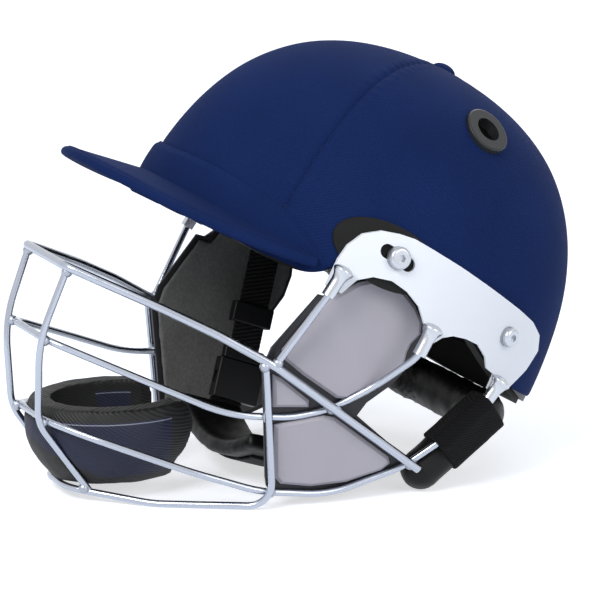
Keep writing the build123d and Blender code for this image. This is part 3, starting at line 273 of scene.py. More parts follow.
def twill(name, dark, light, line_mm, depth):
    """A woven cloth whose diagonal lines follow the piece's own map, in millimetres."""
    made, tree = new_material(name)
    place = add_node(tree, "ShaderNodeUVMap")
    turned = add_node(
        tree, "ShaderNodeMapping", {"Vector": place.outputs[0], "Rotation": (0, 0, twill_lean)}
    )
    line = add_node(
        tree,
        "ShaderNodeTexWave",
        {
            "Vector": turned.outputs[0],
            "Scale": wave_band / line_mm,
            "Distortion": 0.6,
            "Detail": 1.0,
            "Detail Scale": 2.0,
        },
        bands_direction="X",
    )
    thread = add_node(
        tree, "ShaderNodeTexNoise", {"Vector": place.outputs[0], "Scale": 0.9, "Detail": 3.0}
    )
    spot = add_node(tree, "ShaderNodeTexCoord")
    cloud = add_node(
        tree,
        "ShaderNodeTexNoise",
        {"Vector": spot.outputs["Object"], "Scale": 22.0, "Detail": 4.0},
    )
    tone = add_node(
        tree,
        "ShaderNodeMix",
        {"Factor": cloud.outputs[0], "A": linear(dark), "B": linear(light)},
        data_type="RGBA",
    )
    shade = add_node(
        tree,
        "ShaderNodeMapRange",
        {
            "Value": line.outputs["Fac"],
            "From Min": 0.0,
            "From Max": 1.0,
            "To Min": 0.9,
            "To Max": 1.07,
        },
    )
    fleck = add_node(
        tree,
        "ShaderNodeMapRange",
        {
            "Value": thread.outputs[0],
            "From Min": 0.3,
            "From Max": 0.7,
            "To Min": 0.88,
            "To Max": 1.12,
        },
    )
    amount = add_node(
        tree, "ShaderNodeMath", {0: shade.outputs[0], 1: fleck.outputs[0]}, operation="MULTIPLY"
    )
    colour = add_node(
        tree,
        "ShaderNodeVectorMath",
        {0: tone.outputs["Result"], "Scale": amount.outputs[0]},
        operation="SCALE",
    )
    height = add_node(
        tree, "ShaderNodeMath", {0: line.outputs["Fac"], 1: thread.outputs[0]}, operation="ADD"
    )
    bump = add_node(
        tree,
        "ShaderNodeBump",
        {"Height": height.outputs[0], "Strength": depth, "Distance": 0.0004},
    )
    cloth = add_node(
        tree,
        "ShaderNodeBsdfPrincipled",
        {"Base Color": colour.outputs[0], "Roughness": 0.86, "Normal": bump.outputs[0]},
    )
    cloth.inputs["Specular IOR Level"].default_value = 0.12
    add_node(tree, "ShaderNodeOutputMaterial", {"Surface": cloth.outputs[0]})
    return made


navy_twill = twill("navy_polyester_twill", "#0B1D47", "#13295C", twill_line_mm, 0.25)

# The cover's edges, as shares of the half length and the crown's height: the rim, and the seam
# over the brow. A drop runs from 0 at the crown to 1 at the rim.
rim_shares = (
    (-1.20, 0.030), (-0.58, 0.045), (-0.46, 0.075), (-0.36, 0.160), (-0.12, 0.185),
    (0.18, 0.150), (0.42, 0.060), (0.62, 0.0), (1.20, 0.0),
)
brow_shares = (
    (-1.12, 0.232), (-0.97, 0.252), (-0.81, 0.240), (-0.66, 0.212), (-0.51, 0.140),
    (-0.36, 0.070),
)
form_size = np.array([half_length, crown_height])
rim_line = smooth_line(rim_shares) * form_size
seam_line = smooth_line(brow_shares) * form_size
rim_meets_seam = -0.43 * half_length
below_all = -200.0
hem = 1.2
lowest_drop = 1.012
tuck_share = 0.012
edge_mm = 190  # the length along the cloth of a drop from 0 to 1, as it is near the edges
crown_mm = 210  # the same for the puckers, which are counted from the crown
seam_angles = (-40.0, 40.0, 180.0)
no_seam = 99.0
seam_depth, seam_half = 1.0, 1.3
shoulder_rise, shoulder_out, shoulder_half = 0.35, 4.5, 2.6
pucker_rise, pucker_every, pucker_reach = 0.22, 7.5, 5
edge_depth, edge_half = 0.7, 1.8
uneven_rise, uneven_size = 0.16, 34
seam_turn = math.atan2(
    math.sin(math.radians(40)) / half_width, math.cos(math.radians(40)) / half_length
)
gap_turn = 0.0006
gore_map = (95, 205)
vent_spot = (0.646 * half_width, 0.045 * half_length, 0.836 * crown_height)
vent_clear = 11.5


def drop_at(turn, level_of, forward=0.0):
    """How far down the head form a line lies at an angle round the crown, or the lowest drop
    where it isn't met."""
    drops = np.linspace(0.05, 1.03, 500)
    points = dome(turn, drops, 0.0, forward)
    below = points[:, 2] < level_of(points[:, 1])
    return drops[np.argmax(below)] if below.any() else lowest_drop


def rim_level(back):
    return np.interp(back, rim_line[:, 0], rim_line[:, 1]) - hem


def seam_level(back):
    line = np.interp(back, seam_line[:, 0], seam_line[:, 1])
    return np.where(back < rim_meets_seam, line, below_all)


def gore_end(turn):
    """The gores stop at the rim, or are tucked a little way under the brow band."""
    return min(drop_at(turn, rim_level), drop_at(turn, seam_level) + tuck_share)


def eased(values, passes=3):
    """Takes the small steps out of a row of values."""
    values = np.array(values, float)
    for _ in range(passes):
        values[1:-1] = (values[:-2] + 2 * values[1:-1] + values[2:]) / 4
    return values


def cloth_relief(points, drop, end):
    """The seams' valleys and puckers at places on the cover, as a height in millimetres."""
    x, y = points[:, 0], points[:, 1]
    to_seam = np.full(len(x), no_seam)
    for angle in seam_angles:
        turn = math.radians(angle)
        ahead = x * math.sin(turn) - y * math.cos(turn)
        gap = np.abs(x * math.cos(turn) + y * math.sin(turn))
        to_seam = np.minimum(to_seam, np.where(ahead > -2, gap, no_seam))
    to_edge = (end - drop) * edge_mm
    down = drop * crown_mm
    valley = -seam_depth * ridge(to_seam, seam_half)
    shoulder = shoulder_rise * ridge(to_seam - shoulder_out, shoulder_half)
    beat = np.sin(down * 2 * math.pi / pucker_every + 1.3 * np.sin(down / 9))
    pucker = pucker_rise * beat * ridge(to_seam, pucker_reach)
    turned_edge = -edge_depth * ridge(to_edge, edge_half)
    uneven = uneven_rise * ripple(points, uneven_size)
    return valley + shoulder + pucker + turned_edge + uneven


def gore(name, start, stop, nodes, across, along, side):
    """One panel of the cover between two seams, from the crown down to the rim or under the
    brow band. A side gore is cut out round its vent."""
    turns = np.linspace(start, stop, across + 1)
    ends = eased([gore_end(turn) for turn in turns])

    def shape(u, v):
        turn = start + u * (stop - start)
        end = np.interp(turn, turns, ends)
        drop = end * (1 - v)
        return dome(turn, drop, cloth_relief(dome(turn, drop), drop, end))

    weave = (abs(stop - start) * gore_map[0], gore_map[1])
    piece = shaped_grid(name, across, along, shape, inside_head, weave)
    with_wall(piece, cloth_thickness)
    if side:
        vent = np.array([[side * vent_spot[0], vent_spot[1], vent_spot[2]]])
        middle = Vector(laid_down(vent)[0])
        for vertex in piece.data.vertices:
            vertex.select = (vertex.co - middle).length < vent_clear / 1000
        for part in (*piece.data.edges, *piece.data.polygons):
            part.select = all(piece.data.vertices[i].select for i in part.vertices)
        bpy.ops.object.mode_set(mode="EDIT")
        bpy.ops.mesh.select_mode(type="VERT")
        bpy.ops.mesh.delete(type="VERT")
        bpy.ops.object.mode_set(mode="OBJECT")
    dress(piece, navy_twill, "helmet", nodes)


for name, node, start, stop, across, along, side in (
    ("cover_front_cloth", "cover_front", -seam_turn, seam_turn, 120, 110, 0),
    ("cover_left_cloth", "cover_left", seam_turn, math.pi, 190, 130, 1),
    ("cover_right_cloth", "cover_right", -math.pi, -seam_turn, 190, 130, -1),
):
    gore(name, start + gap_turn, stop - gap_turn, [node], across, along, side)

# Brow band: a padded strip of the same cloth across the forehead, 3.5 mm proud of the gores
# at the front. Its upper edge is turned in at the brow seam, over the ends of the gores.
brow_rise = 3.5
band_turn = 1.12
band_across = 160
band_along = 26
band_reach = 115
band_height = 34
least_band = 0.004
top_depth, top_half = 1.8, 1.7
foot_depth, foot_half = 0.8, 1.6
gather_rise, gather_every, gather_reach = 0.16, 6.5, 5
pad_rise, pad_down, pad_half = 0.5, 9, 7
band_uneven_rise, band_uneven_size = 0.15, 22
band_turns = np.linspace(-band_turn, band_turn, band_across + 1)
band_tops = eased([drop_at(turn, seam_level, brow_rise) for turn in band_turns])
band_ends = eased([drop_at(turn, rim_level, brow_rise) for turn in band_turns])
band_tops = np.minimum(band_tops, band_ends - least_band)


def band_shape(u, v):
    """The band from the brow seam to the rim: edges turned in, gathers and a padded swell."""
    turn = -band_turn + 2 * band_turn * u
    top = np.interp(turn, band_turns, band_tops)
    end = np.interp(turn, band_turns, band_ends)
    drop = top + (end - top) * (1 - v)
    to_top = (drop - top) * edge_mm
    to_end = (end - drop) * edge_mm
    turned_edges = -top_depth * ridge(to_top, top_half) - foot_depth * ridge(to_end, foot_half)
    beat = np.sin(turn * band_reach * 2 * math.pi / gather_every)
    gathers = gather_rise * beat * ridge(to_top, gather_reach)
    relief = turned_edges + gathers + pad_rise * ridge(to_top - pad_down, pad_half)
    uneven = band_uneven_rise * ripple(dome(turn, drop, relief, brow_rise), band_uneven_size)
    return dome(turn, drop, relief + uneven, brow_rise)


band_map = (2 * band_turn * band_reach, band_height)
band = shaped_grid(
    "cover_brow_cloth", band_across, band_along, band_shape, inside_head, band_map
)
with_wall(band, cloth_thickness)
dress(band, navy_twill, "helmet", ["cover_brow"])

# Button: a cloth-covered stud, flattened and faintly pleated, sewn down where the three seams
# meet at the crown.
button_radius = 7.1
button_rise = 4.3
button_sink = 0.6
button_foot = 1.0
pleats = 12
pleat_depth = 0.02
button_map = (44, 20)
bpy.ops.object.select_all(action="DESELECT")
bpy.ops.mesh.primitive_uv_sphere_add(segments=48, ring_count=24, radius=1.0)
button = bpy.context.object
button.name = "top_button_cloth"
ball = np.empty(len(button.data.vertices) * 3)
button.data.vertices.foreach_get("co", ball)
x, y, z = ball.reshape(-1, 3).T
pleat = 1 + pleat_depth * np.cos(np.arctan2(y, x) * pleats) * (1 - np.abs(z))
level = np.maximum(crown_height - button_sink + button_rise * z, crown_height - button_foot)
worn = np.stack([button_radius * x * pleat, button_radius * y * pleat, level], axis=1)
button.data.vertices.foreach_set("co", laid_down(worn).ravel())
button.data.update()
for loop_uv in button.data.uv_layers.active.data:
    loop_uv.uv = (loop_uv.uv[0] * button_map[0], loop_uv.uv[1] * button_map[1])
dress(button, navy_twill, "helmet", ["top_button"])

# Peak: a stiff arched sheet in the same cloth, which slopes down to its tip, with a rolled and
# stitched edge 6.5 mm wide and a dark lining underneath. Its grid runs from the brow over the
# top, round the edge and a little way in under it.
peak_back = -0.504 * half_length
peak_wide = 96.0
peak_deep = 117.0
peak_arch = 332.0
peak_thick = 5.6
peak_slope = math.tan(math.radians(9.0))
peak_level = 28.5
edge_roll = 6.5
peak_cloth_thickness = 0.9
top_share = 0.62
round_share = 0.2
under_from = 0.82
under_share = 0.18
under_reach = 9.0
grain_share = 0.7
crease_depth, crease_half = 0.75, 0.9
roll_rise, roll_middle, roll_half = 0.45, 3.0, 2.2
tuft_rise, tuft_every, tuft_reach = 0.14, 5.5, 3
peak_uneven_rise, peak_uneven_size, peak_uneven_level = 0.16, 30, 7.0
top_mm = 105  # from the middle of the plan to the edge along the cloth
edge_turn_mm = 118  # a radian along the edge
peak_map = (360, 150)
below_peak = (0, -120, 8)


def peak_top(x, y):
    arch = np.sqrt(peak_arch**2 - x**2)
    return peak_level + (y - peak_back) * peak_slope + arch - peak_arch


def brow_start(angle):
    """Where the peak leaves the brow, as a share of its depth, at an angle round its plan."""
    shares = np.linspace(0.02, 1.0, 300)
    x = peak_wide * shares * math.sin(angle)
    y = peak_back - peak_deep * shares * math.cos(angle)
    z = peak_top(x, y) - peak_thick / 2
    drops = np.linspace(0.3, 1.0, 200)
    form = dome(np.zeros(1), drops, 0.0, brow_rise)
    brow_length = half_length + brow_rise
    reach = np.interp(z, form[::-1, 2], -form[::-1, 1]) / brow_length
    outside = (x / half_width) ** 2 + (y / brow_length) ** 2 > (reach * 0.985) ** 2
    return shares[np.argmax(outside)] if outside.any() else 0.99


peak_angles = np.linspace(-math.pi / 2, math.pi / 2, 181)
peak_starts = eased([brow_start(angle) for angle in peak_angles], 2)


def peak_plan(angle, inset, share):
    """Plan places from the brow to an inset from the edge."""
    start = np.interp(angle, peak_angles, peak_starts)
    reach = start + (1 - start) * share
    wide = np.minimum(peak_wide * reach, peak_wide - inset)
    deep = np.minimum(peak_deep * reach, peak_deep - inset)
    return wide * np.sin(angle), peak_back - deep * np.cos(angle)


def peak_shape(u, v):
    """The peak's cover, with the rolled edge's crease, swell and puckers on its top."""
    angle = (u - 0.5) * math.pi
    flat = np.clip(v / top_share, 0, 1)
    arc = np.clip((v - top_share) / round_share, 0, 1) * math.pi
    under = np.clip((v - under_from) / under_share, 0, 1)
    half = peak_thick / 2
    inset = half - half * np.sin(arc) + under * under_reach
    x, y = peak_plan(angle, inset, flat)
    z = peak_top(x, y) - half + half * np.cos(arc)
    start = np.interp(angle, peak_angles, peak_starts)
    to_edge = (1 - flat) * (1 - start) * top_mm
    crease = -crease_depth * ridge(to_edge - edge_roll, crease_half)
    swell = roll_rise * ridge(to_edge - roll_middle, roll_half)
    beat = np.sin(angle * edge_turn_mm * 2 * math.pi / tuft_every)
    pucker = tuft_rise * beat * ridge(to_edge - edge_roll, tuft_reach)
    z = z + np.where(v < top_share, crease + swell + pucker, 0.0)
    plan = np.stack([x, y, np.full(len(x), peak_uneven_level)], axis=1)
    z = z + np.where(v < grain_share, peak_uneven_rise * ripple(plan, peak_uneven_size), 0.0)
    return np.stack([x, y, z], axis=1)


peak = shaped_grid("peak_cover_cloth", 200, 110, peak_shape, below_peak, peak_map)
with_wall(peak, peak_cloth_thickness)
dress(peak, navy_twill, "helmet", ["peak_cover"])

# Under-peak lining: a close dark cloth glued inside the rolled edge, matt so that it doesn't
# throw light into the eyes.
lining_thickness = 0.8
lining_inset = 7.0
lining_lift = 0.15
lining_map = (300, 100)
above_lining = (0, -120, 60)


def lining_shape(u, v):
    angle = (u - 0.5) * math.pi
    x, y = peak_plan(angle, lining_inset, v)
    z = peak_top(x, y) - peak_thick + lining_lift
    return np.stack([x, y, z], axis=1)


def plain_cloth(name, dark, light, thread_mm, rough, sheen):
    """A close matt cloth or brushed foam skin, by the piece's place."""
    made, tree = new_material(name)
    place = add_node(tree, "ShaderNodeTexCoord")
    thread = add_node(
        tree,
        "ShaderNodeTexNoise",
        {"Vector": place.outputs["Object"], "Scale": 1000 / thread_mm / 2, "Detail": 3.0},
    )
    cloud = add_node(
        tree,
        "ShaderNodeTexNoise",
        {"Vector": place.outputs["Object"], "Scale": 30.0, "Detail": 3.0},
    )
    mixed = add_node(
        tree, "ShaderNodeMath", {0: thread.outputs[0], 1: cloud.outputs[0]}, operation="MULTIPLY"
    )
    share = add_node(
        tree,
        "ShaderNodeMapRange",
        {
            "Value": mixed.outputs[0],
            "From Min": 0.1,
            "From Max": 0.42,
            "To Min": 0.0,
            "To Max": 1.0,
        },
    )
    tone = add_node(
        tree,
        "ShaderNodeMix",
        {"Factor": share.outputs[0], "A": linear(dark), "B": linear(light)},
        data_type="RGBA",
    )
    bump = add_node(
        tree,
        "ShaderNodeBump",
        {"Height": thread.outputs[0], "Strength": 0.6, "Distance": 0.0005},
    )
    cloth = add_node(
        tree,
        "ShaderNodeBsdfPrincipled",
        {"Base Color": tone.outputs["Result"], "Roughness": rough, "Normal": bump.outputs[0]},
    )
    cloth.inputs["Sheen Weight"].default_value = sheen
    cloth.inputs["Specular IOR Level"].default_value = 0.25
    add_node(tree, "ShaderNodeOutputMaterial", {"Surface": cloth.outputs[0]})
    return made


dark_lining = plain_cloth("green_black_lining_cloth", "#040807", "#0B1210", 0.9, 0.95, 0.0)
lining = shaped_grid(
    "under_peak_lining_cloth", 120, 40, lining_shape, above_lining, lining_map
)
with_wall(lining, lining_thickness)
dress(lining, dark_lining, "helmet", ["under_peak_lining"])


# Shell, liner and peak sheet: moulded in black ABS, black foam beads and grey board. Only
# their edges and insides show, from below.
def moulded(name, dark, light, rough, grain_mm, depth):
    """A moulded plastic or rubber finish with a fine grain and uneven gloss."""
    made, tree = new_material(name)
    place = add_node(tree, "ShaderNodeTexCoord")
    grain = add_node(
        tree,
        "ShaderNodeTexNoise",
        {"Vector": place.outputs["Object"], "Scale": 1000 / grain_mm / 2, "Detail": 2.0},
    )
    cloud = add_node(
        tree,
        "ShaderNodeTexNoise",
        {"Vector": place.outputs["Object"], "Scale": 26.0, "Detail": 4.0},
    )
    tone = add_node(
        tree,
        "ShaderNodeMix",
        {"Factor": cloud.outputs[0], "A": linear(dark), "B": linear(light)},
        data_type="RGBA",
    )
    gloss = add_node(
        tree,
        "ShaderNodeMapRange",
        {
            "Value": cloud.outputs[0],
            "From Min": 0.3,
            "From Max": 0.7,
            "To Min": rough - 0.06,
            "To Max": rough + 0.06,
        },
    )
    bump = add_node(
        tree,
        "ShaderNodeBump",
        {"Height": grain.outputs[0], "Strength": depth, "Distance": 0.0003},
    )
    skin = add_node(
        tree,
        "ShaderNodeBsdfPrincipled",
        {
            "Base Color": tone.outputs["Result"],
            "Roughness": gloss.outputs[0],
            "Normal": bump.outputs[0],
        },
    )
    skin.inputs["Specular IOR Level"].default_value = 0.35
    add_node(tree, "ShaderNodeOutputMaterial", {"Surface": skin.outputs[0]})
    return made


def paint_nodes(finish, *names):
    """Gives CAD nodes their material."""
    for name in names:
        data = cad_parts[name].data
        data.materials.clear()
        data.materials.append(finish)


black_abs = moulded("black_abs", "#0A0A0C", "#141416", 0.45, 0.8, 0.2)
foam_beads = moulded("black_foam_beads", "#060607", "#0D0D0F", 0.8, 3.5, 0.7)
peak_board = moulded("grey_peak_board", "#5A5A5C", "#6C6C6E", 0.7, 1.0, 0.3)
paint_nodes(black_abs, "hard_shell")
paint_nodes(foam_beads, "impact_liner")
paint_nodes(peak_board, "peak_core")

# Vent grommets: two flanged rings moulded in black nylon, with a low even gloss, pressed into
# the shell through the cloth.
black_nylon = moulded("black_nylon", "#1A1C1E", "#24272A", 0.42, 0.6, 0.15)
paint_nodes(black_nylon, "vent_grommets")

# Side plates: moulded in white ABS about 2 mm thick, bare, with a light gloss and rounded
# edges, screwed to the shell over the cloth.
white_abs = moulded("white_abs", "#EEF2F7", "#F2F5FA", 0.34, 1.2, 0.06)
paint_nodes(white_abs, "side_plate_left", "side_plate_right")

# Plate pads: matt black rubber between the plates and the cloth, which keeps the plates from
# rubbing.
black_rubber = moulded("black_rubber", "#030304", "#070708", 0.8, 0.7, 0.4)
paint_nodes(black_rubber, "plate_pads")


# Grille, sockets and fixings: drawn steel wire, bent, butt-welded and electropolished, so that
# it is bright and mirrors the white room with darker lower sides. The weld beads are duller,
# and the hidden fixings are zinc-plated.
def steel(name, code, rough, depth):
    """Bare steel with faint drawing marks and small changes of gloss."""
    made, tree = new_material(name)
    place = add_node(tree, "ShaderNodeTexCoord")
    marks = add_node(
        tree,
        "ShaderNodeTexNoise",
        {"Vector": place.outputs["Object"], "Scale": 420.0, "Detail": 2.0},
    )
    cloud = add_node(
        tree,
        "ShaderNodeTexNoise",
        {"Vector": place.outputs["Object"], "Scale": 60.0, "Detail": 2.0},
    )
    gloss = add_node(
        tree,
        "ShaderNodeMapRange",
        {
            "Value": cloud.outputs[0],
            "From Min": 0.3,
            "From Max": 0.7,
            "To Min": rough,
            "To Max": rough + 0.12,
        },
    )
    bump = add_node(
        tree,
        "ShaderNodeBump",
        {"Height": marks.outputs[0], "Strength": depth, "Distance": 0.0004},
    )
    bare = add_node(
        tree,
        "ShaderNodeBsdfPrincipled",
        {
            "Base Color": linear(code),
            "Metallic": 1.0,
            "Roughness": gloss.outputs[0],
            "Normal": bump.outputs[0],
        },
    )
    add_node(tree, "ShaderNodeOutputMaterial", {"Surface": bare.outputs[0]})
    return made


polished_wire = steel("electropolished_steel_wire", "#B4BAC6", 0.16, 0.03)
pressed_socket = steel("pressed_steel_socket", "#C4C8CF", 0.2, 0.1)
machined_screw = steel("machined_steel_screw", "#BFC3CA", 0.24, 0.1)
weld_metal = steel("weld_metal", "#A9AEB8", 0.34, 0.8)
zinc_plate = steel("zinc_plated_steel", "#A8ABB0", 0.35, 0.1)
paint_nodes(polished_wire, "top_bar", "middle_bar", "lower_bar", "bottom_rail")
paint_nodes(polished_wire, "front_upright_left", "front_upright_right")
paint_nodes(polished_wire, "front_stay_left", "front_stay_right")
paint_nodes(pressed_socket, "sockets_left", "sockets_right")
paint_nodes(machined_screw, "front_screws", "rear_screws")
paint_nodes(weld_metal, "weld_beads")
paint_nodes(zinc_plate, "washers", "shell_inserts", "strap_rivets")

# Cheek panels: vacuum-formed in grey polyethylene, satin, with three raised pillows. The thin
# flange between them lies behind the wires, and painted shade darkens it below the pillows.
panel_outward = (0.9946, -0.0743, -0.0725)
flange_level = 80.5
pillow_level = 81.4


def height_share(tree, direction, low_mm, high_mm):
    """How far a place lies between two levels along a direction, both sides alike."""
    place = add_node(tree, "ShaderNodeTexCoord")
    split = add_node(tree, "ShaderNodeSeparateXYZ", {0: place.outputs["Object"]})
    aside = add_node(tree, "ShaderNodeMath", {0: split.outputs["X"]}, operation="ABSOLUTE")
    joined = add_node(
        tree,
        "ShaderNodeCombineXYZ",
        {0: aside.outputs[0], 1: split.outputs["Y"], 2: split.outputs["Z"]},
    )
    level = add_node(
        tree, "ShaderNodeVectorMath", {0: joined.outputs[0], 1: direction}, operation="DOT_PRODUCT"
    )
    return add_node(
        tree,
        "ShaderNodeMapRange",
        {
            "Value": level.outputs["Value"],
            "From Min": low_mm / 1000,
            "From Max": high_mm / 1000,
            "To Min": 0.0,
            "To Max": 1.0,
        },
        interpolation_type="SMOOTHSTEP",
    )


panel_finish = moulded("satin_grey_polyethylene", "#A9A5AC", "#B9B5BC", 0.4, 1.0, 0.15)
tree = panel_finish.node_tree
skin = next(node for node in tree.nodes if node.bl_idname == "ShaderNodeBsdfPrincipled")
grey = skin.inputs["Base Color"].links[0].from_socket
# Painted shade: places below the pillows' level, in the recessed flange, are mixed towards dark
# grey.
out_of_painted_shade = height_share(tree, panel_outward, flange_level, pillow_level)
tone = add_node(
    tree,
    "ShaderNodeMix",
    {"Factor": out_of_painted_shade.outputs[0], "A": linear("#2B2B2F"), "B": grey},
    data_type="RGBA",
)
tree.links.new(tone.outputs["Result"], skin.inputs["Base Color"])
paint_nodes(panel_finish, "cheek_panel_left", "cheek_panel_right")


# Pads and cheek linings: foam under brushed cloth, glued or pressed in. A node's own solid
# gives each cushion its place, then it is remeshed, eased and given the swell and creases of
# foam under a cover.
def cushion(node, name, voxel_mm, ease, relief, crease_mm):
    """A soft copy of a node: merged, remeshed, eased, then moved along its normals."""
    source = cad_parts[node]
    bpy.ops.object.select_all(action="DESELECT")
    piece = bpy.data.objects.new(name, source.data.copy())
    bpy.context.scene.collection.objects.link(piece)
    bpy.context.view_layer.objects.active = piece
    piece.select_set(True)
    bpy.ops.object.mode_set(mode="EDIT")
    bpy.ops.mesh.select_all(action="SELECT")
    bpy.ops.mesh.remove_doubles(threshold=merge_metres)
    bpy.ops.object.mode_set(mode="OBJECT")
    skin = piece.modifiers.new("skin", "REMESH")
    skin.mode = "VOXEL"
    skin.voxel_size = voxel_mm / 1000
    bpy.ops.object.modifier_apply(modifier=skin.name)
    soft = piece.modifiers.new("soft", "SMOOTH")
    soft.factor = 0.5
    soft.iterations = ease
    bpy.ops.object.modifier_apply(modifier=soft.name)
    spots = np.empty(len(piece.data.vertices) * 3)
    facing = spots.copy()
    piece.data.vertices.foreach_get("co", spots)
    piece.data.vertices.foreach_get("normal", facing)
    spots, facing = spots.reshape(-1, 3), facing.reshape(-1, 3)
    wave = ripple(spots * 1000, crease_mm) + 0.5 * ripple(spots * 1000, crease_mm / 2.3)
    spots += facing * (relief * 0.6 * wave / 1000)[:, None]
    piece.data.vertices.foreach_set("co", spots.ravel())
    piece.data.update()
    return piece


pad_cloth = plain_cloth("brushed_black_pad_cloth", "#060608", "#101014", 0.8, 0.95, 0.05)
for pad in ("brow_pad", "side_pad_left", "side_pad_right", "rear_pad", "crown_pad"):
    soft_pad = cushion(pad, pad + "_cushion", 2.0, 4, 0.5, 16.0)
    dress(soft_pad, pad_cloth, "helmet", [pad])

cheek_lining = plain_cloth("brushed_grey_lining", "#696965", "#83837F", 0.9, 0.93, 0.05)
for side in ("left", "right"):
    node = "cheek_lining_" + side
    soft_lining = cushion(node, node + "_cloth", 1.0, 3, 0.25, 12.0)
    dress(soft_lining, cheek_lining, "helmet", [node])

# Neck roll and chin cup: foam in black leatherette, sewn shut, with a fine pebble grain and a
# soft satin gloss. At the nape the roll swells by 2.2 mm more, so that it fills the slit between
# its solid and the shell; the nape's reach is in metres on the helmet as it lies.
pebble_scale = 800.0
nape_swell_mm = 2.2
nape_half = 0.062
nape_fade = 0.012
nape_from = 0.05


def leatherette(name, dark, light):
    """Coated cloth with a pebble grain about 1.2 mm across."""
    made, tree = new_material(name)
    place = add_node(tree, "ShaderNodeTexCoord")
    pebble = add_node(
        tree, "ShaderNodeTexVoronoi", {"Vector": place.outputs["Object"], "Scale": pebble_scale}
    )
    cloud = add_node(
        tree,
        "ShaderNodeTexNoise",
        {"Vector": place.outputs["Object"], "Scale": 40.0, "Detail": 3.0},
    )
    tone = add_node(
        tree,
        "ShaderNodeMix",
        {"Factor": cloud.outputs[0], "A": linear(dark), "B": linear(light)},
        data_type="RGBA",
    )
    bump = add_node(
        tree,
        "ShaderNodeBump",
        {"Height": pebble.outputs["Distance"], "Strength": 0.35, "Distance": 0.0003},
    )
    gloss = add_node(
        tree,
        "ShaderNodeMapRange",
        {
            "Value": cloud.outputs[0],
            "From Min": 0.3,
            "From Max": 0.7,
            "To Min": 0.36,
            "To Max": 0.52,
        },
    )
    skin = add_node(
        tree,
        "ShaderNodeBsdfPrincipled",
        {
            "Base Color": tone.outputs["Result"],
            "Roughness": gloss.outputs[0],
            "Normal": bump.outputs[0],
        },
    )
    skin.inputs["Specular IOR Level"].default_value = 0.25
    add_node(tree, "ShaderNodeOutputMaterial", {"Surface": skin.outputs[0]})
    return made


black_leatherette = leatherette("black_leatherette", "#030304", "#08080A")
roll = cushion("neck_roll", "neck_roll_cushion", 1.6, 4, 0.45, 14.0)
for vertex in roll.data.vertices:
    if vertex.co.y > nape_from:
        share = min(max((nape_half - abs(vertex.co.x)) / nape_fade, 0.0), 1.0)
        vertex.co += vertex.normal * share * nape_swell_mm / 1000
dress(roll, black_leatherette, "helmet", ["neck_roll"])
cup = cushion("chin_cup", "chin_cup_cushion", 1.2, 4, 0.35, 12.0)
dress(cup, black_leatherette, "chin_strap", ["chin_cup"])


# Wraps: black hook-and-loop sleeves round the neck roll and the rear wire, which tie the roll
# to the grille. They are ribbed by their knitted loops.
def ribbed(name, dark, light, rib_mm, bands, rough):
    """A cloth woven or knitted with ribs across one axis of the piece."""
    made, tree = new_material(name)
    place = add_node(tree, "ShaderNodeTexCoord")
    rib = add_node(
        tree,
        "ShaderNodeTexWave",
        {
            "Vector": place.outputs["Object"],
            "Scale": 1000 * wave_band / rib_mm,
            "Distortion": 1.2,
            "Detail": 2.0,
            "Detail Scale": 3.0,
        },
        bands_direction=bands,
    )
    thread = add_node(
        tree,
        "ShaderNodeTexNoise",
        {"Vector": place.outputs["Object"], "Scale": 900.0, "Detail": 3.0},
    )
    mixed = add_node(
        tree,
        "ShaderNodeMath",
        {0: rib.outputs["Fac"], 1: thread.outputs[0]},
        operation="MULTIPLY",
    )
    tone = add_node(
        tree,
        "ShaderNodeMix",
        {"Factor": mixed.outputs[0], "A": linear(dark), "B": linear(light)},
        data_type="RGBA",
    )
    bump = add_node(
        tree,
        "ShaderNodeBump",
        {"Height": mixed.outputs[0], "Strength": 0.8, "Distance": 0.0007},
    )
    cloth = add_node(
        tree,
        "ShaderNodeBsdfPrincipled",
        {"Base Color": tone.outputs["Result"], "Roughness": rough, "Normal": bump.outputs[0]},
    )
    cloth.inputs["Specular IOR Level"].default_value = 0.2
    add_node(tree, "ShaderNodeOutputMaterial", {"Surface": cloth.outputs[0]})
    return made


ribbed_black = ribbed("ribbed_hook_and_loop", "#030304", "#131316", 1.6, "Z", 0.9)
for side in ("left", "right"):
    node = "wrap_" + side
    wrap = cushion(node, node + "_cloth", 0.9, 2, 0.2, 9.0)
    dress(wrap, ribbed_black, "helmet", [node])

# Spare neck guard: a padded band in finely ribbed navy cloth. Its hollow, its open ends and its
# upper and lower edges are bound in black, and a pale stitch runs under the upper binding. The
# places below are in metres on the helmet as it lies.
guard_middle = (0.0, -0.1245)
guard_reach = (0.043, 0.051)
hollow_share = 0.72
top_binding = 0.0475
foot_binding = 0.0145
open_ends = -0.091
stitch_level = 0.0463
stitch_half = 0.00028
guard_rib_mm = 1.5
rib_lean = (math.radians(25), math.radians(60), 0)
guard_cloth, tree = new_material("ribbed_navy_and_black_cloth")
place = add_node(tree, "ShaderNodeTexCoord")
split = add_node(tree, "ShaderNodeSeparateXYZ", {0: place.outputs["Object"]})
turned = add_node(
    tree, "ShaderNodeMapping", {"Vector": place.outputs["Object"], "Rotation": rib_lean}
)
rib = add_node(
    tree,
    "ShaderNodeTexWave",
    {
        "Vector": turned.outputs[0],
        "Scale": 1000 * wave_band / guard_rib_mm,
        "Distortion": 1.0,
    },
    bands_direction="X",
)

